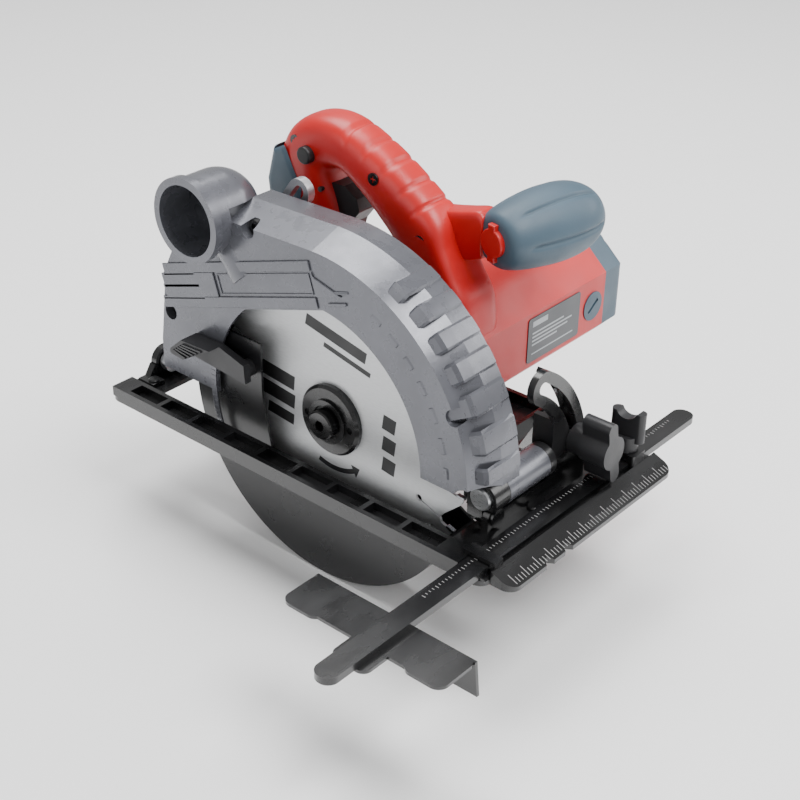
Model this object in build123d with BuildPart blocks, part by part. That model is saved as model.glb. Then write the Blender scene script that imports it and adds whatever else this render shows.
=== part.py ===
"""A hand-held circular saw with a 185 mm blade, in millimetres.

+X is the cutting direction, +Y points to the motor and +Z is up. The origin is on the
sole, straight below the spindle, in the middle plane of the blade.
"""

import os
from math import atan2, cos, degrees, pi, radians, sin, sqrt, tan

from build123d import *

os.makedirs("parts", exist_ok=True)

# ---------------------------------------------------------------- driving dimensions
# fits and gaps
running = 0.05  # radial clearance of a shaft in a hole
gap = 0.4  # between pieces that move past each other

# blade and spindle
blade_radius = 92.5
blade_plate = 1.6
kerf = 2.4
tooth_count = 24
first_tooth = -8.0
tip_length = 5.0
gullet_depth = 11.0
blade_bore = 10.0
slot_radius = 66.0
cutting_depth = 65.0
spindle_z = blade_radius - cutting_depth
flange_radius = 21.0
inner_flange_thick = 5.7
outer_flange_thick = 4.2
bolt_radius = 4.0
bolt_head_radius = 8.5
bolt_head_height = 7.0
spindle_radius = 7.5

# reduction gear
module = 1.2
wheel_teeth = 39
pinion_teeth = 9
pressure_angle = radians(20)
profile_shift = 0.45
tooth_thinning = 0.1
gear_width = 10.0
pinion_angle = 63.2  # of the motor axis seen from the spindle, above +X
centre_distance = module * (wheel_teeth + pinion_teeth) / 2
motor_x = centre_distance * cos(radians(pinion_angle))
motor_z = spindle_z + centre_distance * sin(radians(pinion_angle))

# stations along Y, from the blade to the end of the motor
nose_y = 9.0
guard_back_y = 18.0
gear_y = 22.0
case_wall_y = 33.0
case_end_y = 46.0
fan_y = 49.0
core_start_y = 88.0
core_length = 50.0
commutator_y = 156.0
commutator_length = 16.0
housing_end_y = 176.0
rear_bearing_y = 178.0
motor_end_y = 196.0

# motor
motor_radius = 41.0
motor_wall = 3.0
motor_front_x = 54.5
armature_radius = 22.0
air_gap = 0.7
field_radius = 36.0
shaft_radius = 6.0
tail_radius = 4.0
commutator_radius = 13.0
brush_width = 6.0

# guards
guard_face_y = -16.0
guard_wall = 1.8
guard_radius = 112.0
guard_cavity = 99.0
window_radius = 74.5
window_chord = 68.0
nose_up = 18.3  # tilt of the guard's long edges
lower_radius = 95.5
lower_half_width = 12.5
lower_wall = 1.5
hub_radius = 20.0

# dust port
port_x = -80.0
port_z = 129.0
port_bore = 19.8
port_wall = 2.6
port_mouth_y = -29.0

# base
rear_x = -146.0
front_x = 147.0
right_y = -38.0
left_y = 117.0
sole_thick = 3.0
rim_height = 9.0
rim_width = 3.0
rail_width = 15.0
window_rear_x = -125.0
window_front_x = 97.0
window_left_y = 33.0
lip_x = 133.5
lip_low = 2.6

# bevel pivot and quadrant
bevel_y = 2.0
bevel_z = 12.0
bevel_range = 45.0
pivot_pin_radius = 3.0
pivot_ear_radius = 6.2
quadrant_x = 110.0
quadrant_plate = 4.0
quadrant_depth = 13.0
stud_orbit = 70.0
stud_angle = 14.0
stud_radius = 3.0
band_width = 19.0

# depth hinge and arc
hinge_x = 105.0
hinge_z = 24.0
hinge_pin_radius = 4.0
hinge_ring = 9.5
tube_near_y = 8.3
tube_far_y = 43.0
ear_thick = 4.7
depth_range = 38.0
arc_orbit = 190.0
arc_rest_angle = -0.5
arc_width = 15.0
arc_y = 22.0
arc_thick = 5.0
depth_bolt_radius = 3.0

# parallel guide
bar_x = 124.5
bar_width = 12.6
bar_bottom = 5.0
bar_thick = 4.0
bar_right_y = -145.0
bar_left_y = 165.0
fence_length = 99.0
fence_flange_y = -88.0
fence_drop = 19.0
clamp_y = 100.0

# handle
handle_right_y = 46.0
handle_split_y = 62.0
handle_left_y = 78.0
handle_wall = 3.0


def side(y):
    """Plane at Y = y with local x along +X and local y along +Z; extrude goes to -Y."""
    return Plane.XZ.offset(-y)


def front(x):
    """Plane at X = x with local x along +Y and local y along +Z; extrude goes to +X."""
    return Plane.YZ.offset(x)


def finish(part, label):
    """Name a finished piece and write it out."""
    part.label = label
    export_step(part, f"parts/{label}.step")


def polar(radius, angle, x=0.0, z=0.0):
    """Point at a radius and an angle in degrees about (x, z)."""
    return (x + radius * cos(radians(angle)), z + radius * sin(radians(angle)))


# ---------------------------------------------------------------- blade and spindle
def blade_outline():
    """Corners of the toothed rim: a radial rake face, a gullet and a rising back."""
    pitch = 360 / tooth_count
    corners = []
    for k in range(tooth_count):
        angle = first_tooth + k * pitch
        for radius, turn in (
            (blade_radius - 0.4, 0.0),
            (blade_radius - tip_length - 4, 0.0),
            (blade_radius - gullet_depth, 1.5),
            (blade_radius - gullet_depth + 1.5, 4.5),
            (blade_radius - 1.6, 12.5),
        ):
            corners.append(polar(radius, angle + turn, 0, spindle_z))
    return corners


with BuildPart() as blade:
    with BuildSketch(side(blade_plate / 2)):
        with BuildLine():
            Polyline(*blade_outline(), close=True)
        make_face()
        with Locations((0, spindle_z)):
            Circle(blade_bore, mode=Mode.SUBTRACT)
            with PolarLocations(slot_radius, 4, start_angle=first_tooth + 1.5 - 15):
                Circle(2.0, mode=Mode.SUBTRACT)
            with PolarLocations((slot_radius + 85) / 2, 4, start_angle=first_tooth + 1.5 - 15):
                Rectangle(85 - slot_radius, 0.8, mode=Mode.SUBTRACT)
    extrude(amount=blade_plate)
finish(blade.part, "blade")

with BuildPart() as carbide_tips:
    with BuildSketch(side(kerf / 2)):
        for k in range(tooth_count):
            angle = first_tooth + k * 360 / tooth_count
            low = blade_radius - tip_length
            with BuildLine():
                Polyline(
                    polar(low, angle, 0, spindle_z),
                    polar(blade_radius, angle, 0, spindle_z),
                    polar(blade_radius, angle + 1.1, 0, spindle_z),
                    polar(low, angle + 0.9, 0, spindle_z),
                    close=True,
                )
            make_face()
    extrude(amount=kerf)
finish(carbide_tips.part, "carbide_tips")

inner_flange_y = blade_plate / 2 + inner_flange_thick
with BuildPart() as inner_flange:
    with BuildSketch(side(inner_flange_y)):
        with Locations((0, spindle_z)):
            Circle(flange_radius)
    extrude(amount=inner_flange_thick)
    with BuildSketch(side(blade_plate / 2)):
        with Locations((0, spindle_z)):
            Circle(blade_bore)
    extrude(amount=blade_plate * 0.8)
    with BuildSketch(side(inner_flange_y)):
        with Locations((0, spindle_z)):
            Circle(spindle_radius - 0.5)
    extrude(amount=inner_flange_thick + blade_plate, mode=Mode.SUBTRACT)
finish(inner_flange.part, "inner_flange")

outer_flange_y = -blade_plate / 2 - outer_flange_thick
with BuildPart() as outer_flange:
    with BuildSketch(side(-blade_plate / 2)):
        with Locations((0, spindle_z)):
            Circle(flange_radius)
    extrude(amount=outer_flange_thick)
    chamfer(outer_flange.edges().group_by(Axis.Y)[0], length=1.6)
    with BuildSketch(side(outer_flange_y)):
        with Locations((0, spindle_z)):
            Circle(13.0)
            Circle(bolt_head_radius + 1.5, mode=Mode.SUBTRACT)
    extrude(amount=1.5)
    with BuildSketch(side(-blade_plate / 2)):
        with Locations((0, spindle_z)):
            Circle(bolt_radius)
            with PolarLocations(15.5, 2):
                Circle(2.0)
    extrude(amount=outer_flange_thick + 2, mode=Mode.SUBTRACT)
finish(outer_flange.part, "outer_flange")

with BuildPart() as blade_bolt:
    with BuildSketch(side(outer_flange_y)):
        with Locations((0, spindle_z)):
            Circle(bolt_head_radius)
    extrude(amount=bolt_head_height)
    chamfer(blade_bolt.edges().group_by(Axis.Y)[0], length=0.8)
    with BuildSketch(side(outer_flange_y - bolt_head_height)):
        with Locations((0, spindle_z)):
            RegularPolygon(3.4, 6)
    extrude(amount=-5, mode=Mode.SUBTRACT)
    with BuildSketch(side(14)):
        with Locations((0, spindle_z)):
            Circle(bolt_radius)
    extrude(amount=14 - outer_flange_y)
finish(blade_bolt.part, "blade_bolt")

bearing_y = nose_y + 0.5
gear_bore = 6.0
with BuildPart() as spindle:
    for end_y, length, radius in (
        (inner_flange_y, inner_flange_thick + 0.4, spindle_radius - 0.5),
        (bearing_y + 9, bearing_y + 9 - inner_flange_y, spindle_radius),
        (gear_y, gear_y - bearing_y - 9, spindle_radius + 2),
        (gear_y + gear_width, gear_width, gear_bore),
        (case_wall_y + 7, case_wall_y + 7 - gear_y - gear_width, tail_radius),
    ):
        with BuildSketch(side(end_y)):
            with Locations((0, spindle_z)):
                Circle(radius)
        extrude(amount=length)
    with BuildSketch(side(16)):
        with Locations((0, spindle_z)):
            Circle(bolt_radius)
    extrude(amount=20, mode=Mode.SUBTRACT)
finish(spindle.part, "spindle")


def involute_flank(base, low, high, points=6):
    """(radius, angle) along an involute: angle is sqrt(t^2) - atan(t), t from r / base."""
    flank = []
    for k in range(points):
        radius = max(low, base) + (high - max(low, base)) * k / (points - 1)
        t = sqrt(max((radius / base) ** 2 - 1, 0))
        flank.append((radius, t - atan2(t, 1)))
    return flank


def toothed_disc(teeth, shift, tip, root, x, z, phase):
    """Sketch of a gear: involute flanks that stand on the root circle about (x, z)."""
    pitch = module * teeth / 2
    base = pitch * cos(pressure_angle)
    thick = module * (pi / 2 + 2 * shift * tan(pressure_angle)) - tooth_thinning
    half = thick / 2 / pitch + tan(pressure_angle) - pressure_angle
    flank = involute_flank(base, root, tip)
    foot = root * 0.97
    with BuildSketch() as disc:
        with Locations((x, z)):
            Circle(root)
        for k in range(teeth):
            middle = degrees(radians(phase) + k * 2 * pi / teeth)
            right = [polar(r, middle - degrees(half - a), x, z) for r, a in flank]
            left = [polar(r, middle + degrees(half - a), x, z) for r, a in flank]
            with BuildLine():
                Line(polar(foot, middle - degrees(half), x, z), right[0])
                Spline(*right)
                Line(right[-1], left[-1])
                Spline(*left)
                Line(left[0], polar(foot, middle + degrees(half), x, z))
                Line(
                    polar(foot, middle + degrees(half), x, z),
                    polar(foot, middle - degrees(half), x, z),
                )
            make_face()
    return disc.sketch


wheel_pitch = module * wheel_teeth / 2
wheel_tip = wheel_pitch + module * (0.9 - profile_shift)
wheel_root = wheel_pitch - module * (1.25 + profile_shift)
wheel_profile = toothed_disc(
    wheel_teeth,
    -profile_shift,
    wheel_tip,
    wheel_root,
    0,
    spindle_z,
    pinion_angle + 180 / wheel_teeth,
)
with BuildPart() as output_gear:
    with BuildSketch(side(gear_y + gear_width)):
        add(wheel_profile)
        with Locations((0, spindle_z)):
            Circle(gear_bore, mode=Mode.SUBTRACT)
    extrude(amount=gear_width)
    with BuildSketch(side(gear_y + gear_width)):
        with Locations((0, spindle_z)):
            Circle(wheel_root - 3)
            Circle(gear_bore + 4, mode=Mode.SUBTRACT)
    extrude(amount=2.5, mode=Mode.SUBTRACT)
finish(output_gear.part, "output_gear")


def bearing(y, width, outer, bore, x, z):
    """A shielded ball bearing: a ring with a shallow groove on each face."""
    middle = (outer + bore) / 2
    shield = (outer - bore) * 0.22
    with BuildPart() as ring:
        with BuildSketch(side(y + width)):
            with Locations((x, z)):
                Circle(outer)
                Circle(bore + running, mode=Mode.SUBTRACT)
        extrude(amount=width)
        for face_y, depth in ((y + width, 0.5), (y, -0.5)):
            with BuildSketch(side(face_y)):
                with Locations((x, z)):
                    Circle(middle + shield)
                    Circle(middle - shield, mode=Mode.SUBTRACT)
            extrude(amount=depth, mode=Mode.SUBTRACT)
    return ring.part


spindle_bearing_radius = 16.0
small_bearing_radius = 11.0
armature_bearing_radius = 14.0
spindle_pair = (
    bearing(bearing_y, 9, spindle_bearing_radius, spindle_radius, 0, spindle_z),
    bearing(case_wall_y, 7, small_bearing_radius, tail_radius, 0, spindle_z),
)
with BuildPart() as spindle_bearings:
    add(spindle_pair)
finish(spindle_bearings.part, "spindle_bearings")

armature_pair = (
    bearing(case_wall_y + 1, 8, armature_bearing_radius, shaft_radius, motor_x, motor_z),
    bearing(rear_bearing_y, 7, small_bearing_radius, tail_radius, motor_x, motor_z),
)
with BuildPart() as armature_bearings:
    add(armature_pair)
finish(armature_bearings.part, "armature_bearings")

# ---------------------------------------------------------------- gear case
case_radius = wheel_tip + 2.4
lock_pin_spot = (-16.0, 15.5)
lock_pin_radius = 2.2
lock_pin_tip_y = case_wall_y + 2.4
with BuildPart() as gear_case:
    with BuildSketch(side(case_wall_y + 9)):
        with Locations((0, spindle_z)):
            Circle(case_radius)
        with Locations((motor_x, motor_z)):
            Circle(21.0)
        make_hull()
    extrude(amount=case_wall_y + 9 - guard_back_y)
    with BuildSketch(side(case_end_y)):
        with Locations((motor_x, motor_z)):
            Circle(motor_radius - 0.5)
    extrude(amount=5)
    with BuildSketch(side(guard_back_y)):
        with Locations((0, spindle_z)):
            Circle(hub_radius)
    extrude(amount=guard_back_y - nose_y)
    with BuildSketch(side(case_wall_y)):
        with Locations((0, spindle_z)):
            Circle(wheel_tip + 0.5)
        with Locations((motor_x, motor_z)):
            Circle(8.5)
        make_hull()
    extrude(amount=case_wall_y - gear_y + 1.0, mode=Mode.SUBTRACT)
    for end_y, length, radius, x, z in (
        (bearing_y + 9, 12, spindle_bearing_radius, 0, spindle_z),
        (gear_y, 5, spindle_radius + 4, 0, spindle_z),
        (case_wall_y + 7, 8, small_bearing_radius, 0, spindle_z),
        (case_wall_y + 9, 8, armature_bearing_radius, motor_x, motor_z),
        (case_end_y, 15, shaft_radius + 3, motor_x, motor_z),
        (case_end_y, 3, motor_radius - 6, motor_x, motor_z),
    ):
        with BuildSketch(side(end_y)):
            with Locations((x, z)):
                Circle(radius)
        extrude(amount=length, mode=Mode.SUBTRACT)
    with BuildSketch(side(case_end_y)):
        with Locations(lock_pin_spot):
            Circle(lock_pin_radius + running)
    extrude(amount=case_end_y - case_wall_y, mode=Mode.SUBTRACT)
finish(gear_case.part, "gear_case")

with BuildPart() as hub_ring:
    with BuildSketch(side(nose_y + 1.6)):
        with Locations((0, spindle_z)):
            Circle(hub_radius + 2.5)
            Circle(hub_radius, mode=Mode.SUBTRACT)
    extrude(amount=1.2)
finish(hub_ring.part, "hub_retaining_ring")

# ---------------------------------------------------------------- armature
pinion_pitch = module * pinion_teeth / 2
pinion_tip = pinion_pitch + module * (0.8 + profile_shift)
pinion_root = pinion_pitch - module * (1.25 - profile_shift)
pinion_profile = toothed_disc(
    pinion_teeth,
    profile_shift,
    pinion_tip,
    pinion_root,
    motor_x,
    motor_z,
    pinion_angle + 180,
)
with BuildPart() as armature_shaft:
    with BuildSketch(side(case_wall_y + 0.6)):
        add(pinion_profile)
    extrude(amount=gear_width + 1)
    for end_y, start_y, radius in (
        (commutator_y + commutator_length, case_wall_y + 0.6, shaft_radius),
        (rear_bearing_y + 7, commutator_y + commutator_length, tail_radius),
    ):
        with BuildSketch(side(end_y)):
            with Locations((motor_x, motor_z)):
                Circle(radius)
        extrude(amount=end_y - start_y)
finish(armature_shaft.part, "armature_shaft")

core_end_y = core_start_y + core_length
with BuildPart() as armature_core:
    with BuildSketch(side(core_end_y)):
        with Locations((motor_x, motor_z)):
            Circle(armature_radius)
            Circle(shaft_radius, mode=Mode.SUBTRACT)
            with PolarLocations(armature_radius - 4, 12):
                Rectangle(10, 3, mode=Mode.SUBTRACT)
    extrude(amount=core_length)
finish(armature_core.part, "armature_core")

with BuildPart() as armature_windings:
    for end_y in (core_start_y, core_end_y + 10):
        with BuildSketch(side(end_y)):
            with Locations((motor_x, motor_z)):
                Circle(armature_radius - 2)
                Circle(shaft_radius, mode=Mode.SUBTRACT)
        extrude(amount=10)
    fillet(armature_windings.edges().filter_by(GeomType.CIRCLE).sort_by(SortBy.RADIUS)[-4:], 2.5)
finish(armature_windings.part, "armature_windings")

with BuildPart() as commutator:
    with BuildSketch(side(commutator_y + commutator_length)):
        with Locations((motor_x, motor_z)):
            Circle(commutator_radius)
            Circle(shaft_radius, mode=Mode.SUBTRACT)
            with PolarLocations(commutator_radius, 24):
                Rectangle(3, 0.5, mode=Mode.SUBTRACT)
    extrude(amount=commutator_length)
finish(commutator.part, "commutator")

with BuildPart() as cooling_fan:
    with BuildSketch(side(fan_y + 12)):
        with Locations((motor_x, motor_z)):
            Circle(10)
    extrude(amount=12)
    with BuildSketch(side(fan_y + 2)):
        with Locations((motor_x, motor_z)):
            Circle(motor_radius - motor_wall - 4)
    extrude(amount=2)
    with BuildSketch(side(fan_y + 10)):
        with Locations((motor_x, motor_z)):
            with PolarLocations(21, 11):
                Rectangle(26, 1.6, rotation=24)
    extrude(amount=9)
    with BuildSketch(side(fan_y + 12)):
        with Locations((motor_x, motor_z)):
            Circle(shaft_radius)
    extrude(amount=12, mode=Mode.SUBTRACT)
finish(cooling_fan.part, "cooling_fan")

# ---------------------------------------------------------------- field, brushes
coil_inner = 25.5
coil_outer = 32.0


def arc_band(inner, outer, start, sweep):
    """Sketch between two radii over an angle, about the motor axis."""
    with BuildSketch() as band:
        with BuildLine():
            CenterArc((motor_x, motor_z), outer, start, sweep)
            CenterArc((motor_x, motor_z), inner, start, sweep)
            for angle in (start, start + sweep):
                Line(
                    polar(inner, angle, motor_x, motor_z),
                    polar(outer, angle, motor_x, motor_z),
                )
        make_face()
    return band.sketch


coil_slots = [
    arc_band(coil_inner - 0.3, coil_outer + 0.3, start, 17) for start in (24, 139, 204, 319)
]
with BuildPart() as field_core:
    with BuildSketch(side(core_end_y)):
        with Locations((motor_x, motor_z)):
            Circle(field_radius)
            Circle(armature_radius + air_gap, mode=Mode.SUBTRACT)
    extrude(amount=core_length)
    for slot in coil_slots:
        with BuildSketch(side(core_end_y)):
            add(slot)
        extrude(amount=core_length, mode=Mode.SUBTRACT)
finish(field_core.part, "field_core")

coil_ends = [arc_band(coil_inner, coil_outer, start, 130) for start in (25, 205)]
coil_legs = [arc_band(coil_inner, coil_outer, start, 15) for start in (25, 140, 205, 320)]
with BuildPart() as field_coils:
    for end_turn in coil_ends:
        for end_y in (core_start_y - 0.5, core_end_y + 8.5):
            with BuildSketch(side(end_y)):
                add(end_turn)
            extrude(amount=8)
    for leg in coil_legs:
        with BuildSketch(side(core_end_y + 2)):
            add(leg)
        extrude(amount=core_length + 4)
finish(field_coils.part, "field_coils")

brush_y = commutator_y + commutator_length / 2
brush_start = commutator_radius + 0.3
holder_end = motor_radius - motor_wall - 4
with BuildPart() as carbon_brushes:
    for turn in (0, 180):
        with BuildSketch(side(brush_y + 5)):
            with Locations((motor_x, motor_z)):
                with PolarLocations(brush_start + 6, 1, start_angle=turn):
                    Rectangle(12, brush_width)
        extrude(amount=10)
finish(carbon_brushes.part, "carbon_brushes")

with BuildPart() as brush_holders:
    for turn in (0, 180):
        middle = (commutator_radius + 2.5 + holder_end) / 2
        with BuildSketch(side(brush_y + 7)):
            with Locations((motor_x, motor_z)):
                with PolarLocations(middle, 1, start_angle=turn):
                    Rectangle(holder_end - commutator_radius - 2.5, brush_width + 4)
        extrude(amount=14)
        with BuildSketch(side(brush_y + 5)):
            with Locations((motor_x, motor_z)):
                with PolarLocations(middle, 1, start_angle=turn):
                    Rectangle(40, brush_width)
        extrude(amount=10, mode=Mode.SUBTRACT)
finish(brush_holders.part, "brush_holders")

spring_radius = 2.2
spring_wire = 0.5
spring_start = brush_start + 12
spring_length = holder_end - spring_start
with BuildPart() as brush_springs:
    for direction in (1, -1):
        start = (motor_x + direction * (spring_start + spring_wire), brush_y, motor_z)
        with BuildLine():
            turns = Helix(
                2.0,
                spring_length - 2 * spring_wire,
                spring_radius,
                center=start,
                direction=(direction, 0, 0),
            )
        with BuildSketch(Plane(turns @ 0, z_dir=turns % 0)):
            Circle(spring_wire)
        sweep(path=turns)
finish(brush_springs.part, "brush_springs")

cap_radius = 9.0
cap_depth = 5.0
caps = ((motor_front_x, 1), (motor_x - motor_radius, -1))
with BuildPart() as brush_caps:
    for face_x, direction in caps:
        with BuildSketch(front(face_x - direction * cap_depth)):
            with Locations((brush_y, motor_z)):
                Circle(cap_radius)
        extrude(amount=direction * (cap_depth + 0.6))
        with BuildSketch(front(face_x + direction * 0.6)):
            with Locations((brush_y, motor_z)):
                Rectangle(11, 2, rotation=35)
        extrude(amount=-direction * 1.6, mode=Mode.SUBTRACT)
finish(brush_caps.part, "brush_caps")

# ---------------------------------------------------------------- motor housing, end cap
flat_low_z = 37.0
flat_high_z = 71.0
with BuildSketch() as housing_outline:
    with Locations((motor_x, motor_z)):
        Circle(motor_radius)
    with BuildLine():
        Polyline(
            (motor_x + 20, flat_low_z),
            (motor_front_x, flat_low_z),
            (motor_front_x, flat_high_z),
            (motor_x + 24, flat_high_z + 14),
            close=True,
        )
    make_face()
    make_hull()

cap_screw_orbit = 37.0
cap_seat_y = 187.0
with BuildPart() as motor_housing:
    with BuildSketch(side(housing_end_y)):
        add(housing_outline.sketch)
    extrude(amount=housing_end_y - case_end_y)
    with BuildSketch(side(housing_end_y)):
        with Locations((motor_x, motor_z)):
            Circle(motor_radius - motor_wall)
    extrude(amount=housing_end_y - case_end_y, mode=Mode.SUBTRACT)
    with BuildSketch(side(core_end_y)):
        with Locations((motor_x, motor_z)):
            Circle(motor_radius - motor_wall)
            Circle(field_radius, mode=Mode.SUBTRACT)
            with PolarLocations(field_radius, 6):
                Rectangle(9, 8, mode=Mode.SUBTRACT)
    extrude(amount=core_length)
    with BuildSketch(side(brush_y + 7)):
        with Locations((motor_x, motor_z)):
            Rectangle(2 * (motor_radius - motor_wall) + 1, brush_width + 10)
            Rectangle(2 * holder_end, brush_width + 10, mode=Mode.SUBTRACT)
    extrude(amount=14)
    for face_x, direction in caps:
        with BuildSketch(front(face_x + direction)):
            with Locations((brush_y, motor_z)):
                Circle(cap_radius)
        extrude(amount=-direction * (cap_depth + 1), mode=Mode.SUBTRACT)
    with BuildSketch(side(housing_end_y)):
        with Locations((motor_x, motor_z)):
            with PolarLocations(cap_screw_orbit, 4, start_angle=45):
                Circle(3.8)
    extrude(amount=26)
    with BuildSketch(side(housing_end_y)):
        with Locations((motor_x, motor_z)):
            with PolarLocations(cap_screw_orbit, 4, start_angle=45):
                Circle(1.7)
    extrude(amount=20, mode=Mode.SUBTRACT)
finish(motor_housing.part, "motor_housing")

with BuildPart() as motor_end_cap:
    with BuildSketch(side(motor_end_y)):
        add(housing_outline.sketch)
    extrude(amount=motor_end_y - housing_end_y)
    fillet(motor_end_cap.faces().sort_by(Axis.Y)[-1].edges(), 7)
    with BuildSketch(side(rear_bearing_y)):
        with Locations((motor_x, motor_z)):
            Circle(motor_radius - motor_wall - 3)
    extrude(amount=rear_bearing_y - housing_end_y, mode=Mode.SUBTRACT)
    with BuildSketch(side(motor_end_y - 3)):
        with Locations((motor_x, motor_z)):
            Circle(motor_radius - motor_wall - 3)
            Circle(small_bearing_radius + 3, mode=Mode.SUBTRACT)
    extrude(amount=motor_end_y - 3 - rear_bearing_y, mode=Mode.SUBTRACT)
    with BuildSketch(side(rear_bearing_y + 7)):
        with Locations((motor_x, motor_z)):
            Circle(small_bearing_radius)
    extrude(amount=7, mode=Mode.SUBTRACT)
    with BuildSketch(side(motor_end_y)):
        with Locations((motor_x, motor_z)):
            with PolarLocations(25, 16):
                Rectangle(13, 3)
    extrude(amount=4, mode=Mode.SUBTRACT)
    head_room = motor_end_y + 1 - cap_seat_y
    for end_y, length, radius in ((motor_end_y + 1, head_room, 3.5), (cap_seat_y, 11, 1.7)):
        with BuildSketch(side(end_y)):
            with Locations((motor_x, motor_z)):
                with PolarLocations(cap_screw_orbit, 4, start_angle=45):
                    Circle(radius)
        extrude(amount=length, mode=Mode.SUBTRACT)
finish(motor_end_cap.part, "motor_end_cap")

with BuildPart() as air_baffle:
    with BuildSketch(side(fan_y + 18)):
        with Locations((motor_x, motor_z)):
            Circle(motor_radius - motor_wall)
            Circle(motor_radius - motor_wall - 12, mode=Mode.SUBTRACT)
    extrude(amount=2.5)
finish(air_baffle.part, "air_baffle")

rating_y = (100.0, 150.0)
with BuildPart() as rating_plate:
    with BuildSketch(front(motor_front_x)):
        with Locations((sum(rating_y) / 2, (flat_low_z + flat_high_z) / 2)):
            RectangleRounded(rating_y[1] - rating_y[0], 28, 2)
    extrude(amount=0.5)
finish(rating_plate.part, "rating_plate")

# ---------------------------------------------------------------- upper guard
nose = radians(nose_up)


def guard_point(u, w):
    """Row-frame (x, z) of a point given along and across the nose-up axis of the guard."""
    return (u * cos(nose) - w * sin(nose), spindle_z + u * sin(nose) + w * cos(nose))


lobe_z = 29.0
tail_z = 22.0
with BuildSketch() as guard_outline:
    with BuildLine():
        top_start = (0, spindle_z + guard_radius)
        lobe_x = sqrt(guard_radius**2 - (lobe_z - spindle_z) ** 2)
        ThreePointArc(top_start, polar(guard_radius, 45, 0, spindle_z), (lobe_x, lobe_z))
        Line((lobe_x, lobe_z), (0, lobe_z))
        Polyline((0, lobe_z), (-60, tail_z), (-120, tail_z), guard_point(-110, 49.5))
        Polyline(
            guard_point(-110, 49.5),
            guard_point(-89, 92),
            (-100, 113),
            (-62, spindle_z + guard_radius - 1.5),
            top_start,
        )
    make_face()

with BuildSketch() as guard_window:
    with Locations((0, spindle_z)):
        Circle(window_radius)
    with BuildLine():
        Polyline(
            guard_point(-90, window_chord),
            guard_point(90, window_chord),
            guard_point(90, 120),
            guard_point(-90, 120),
            close=True,
        )
    make_face(mode=Mode.SUBTRACT)

port_elbow_y = -5.0
duct_end = (-52.0, 98.0)
duct_bore = 14.0
duct_length = 40.0
duct_turn = atan2(duct_end[1] - port_z, duct_end[0] - port_x)
duct_plane = Plane((port_x, -1, port_z), z_dir=(cos(duct_turn), 0, sin(duct_turn)))
guard_screw_spots = ((-46.0, 130.0), (-111.0, 60.0), (94.0, 72.0))
screw_seat_y = -8.0
with BuildPart() as upper_guard:
    with BuildSketch(side(guard_back_y)):
        add(guard_outline.sketch)
    extrude(amount=guard_back_y - guard_face_y)
    crown = upper_guard.faces().sort_by(Axis.Y)[0].edges().filter_by(GeomType.CIRCLE)
    chamfer(crown, length=7, length2=20, reference=upper_guard.faces().sort_by(Axis.Y)[0])
    with BuildSketch(side(guard_back_y)):
        with Locations((hinge_x, hinge_z)):
            Circle(hinge_ring)
    extrude(amount=guard_back_y - tube_near_y)
    with BuildSketch(side(tube_far_y)):
        with Locations((hinge_x, hinge_z)):
            Circle(hinge_ring)
    extrude(amount=tube_far_y - guard_back_y)
    with BuildSketch(side(arc_y - 0.3)):
        with Locations(polar(-arc_orbit, -arc_rest_angle, hinge_x, hinge_z)):
            Circle(7.5)
    extrude(amount=arc_y - 0.3 - guard_back_y + 3.5)
    with BuildSketch(side(guard_back_y - 3.8)):
        with Locations((0, spindle_z)):
            Circle(guard_cavity)
        with BuildLine():
            Polyline(
                (-guard_cavity, spindle_z),
                (-guard_cavity, 0),
                (guard_cavity, 0),
                (guard_cavity, spindle_z),
                close=True,
            )
        make_face()
    extrude(amount=guard_back_y - 3.8 - guard_face_y - guard_wall, mode=Mode.SUBTRACT)
    with BuildSketch(side(guard_face_y + guard_wall)):
        add(guard_window.sketch)
        with BuildLine():
            Polyline((-60, lobe_z + 6), (-60, 0), (74.5, 0), (74.5, lobe_z), close=True)
        make_face()
    extrude(amount=guard_wall + 1, mode=Mode.SUBTRACT)
    with BuildSketch(side(guard_back_y)):
        with Locations((0, spindle_z)):
            Circle(hub_radius + 1)
    extrude(amount=4, mode=Mode.SUBTRACT)
    with BuildSketch(side(tube_far_y)):
        with Locations((hinge_x, hinge_z)):
            Circle(hinge_pin_radius + running)
    extrude(amount=tube_far_y - tube_near_y + 5, mode=Mode.SUBTRACT)
    with BuildSketch(side(tube_near_y)):
        with Locations((hinge_x, hinge_z)):
            Circle(hinge_ring + gap)
    extrude(amount=tube_near_y - guard_face_y, mode=Mode.SUBTRACT)
    with BuildSketch(duct_plane):
        Circle(duct_bore)
    extrude(amount=duct_length, mode=Mode.SUBTRACT)
    with BuildSketch(side(port_elbow_y)):
        with Locations((port_x, port_z)):
            Circle(port_bore)
    extrude(amount=port_elbow_y - guard_face_y, mode=Mode.SUBTRACT)
    with Locations((port_x, port_elbow_y, port_z)):
        Sphere(port_bore, mode=Mode.SUBTRACT)
    with BuildSketch(side(arc_y)):
        with Locations(polar(-arc_orbit, -arc_rest_angle, hinge_x, hinge_z)):
            Circle(depth_bolt_radius)
    extrude(amount=arc_y - guard_back_y + 6, mode=Mode.SUBTRACT)
    for end_y, length, radius in ((screw_seat_y, 20, 4.6), (screw_seat_y + 20, 20, 2.0)):
        with BuildSketch(side(end_y)):
            with Locations(*guard_screw_spots):
                Circle(radius)
        extrude(amount=length, mode=Mode.SUBTRACT)
finish(upper_guard.part, "upper_guard")

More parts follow.
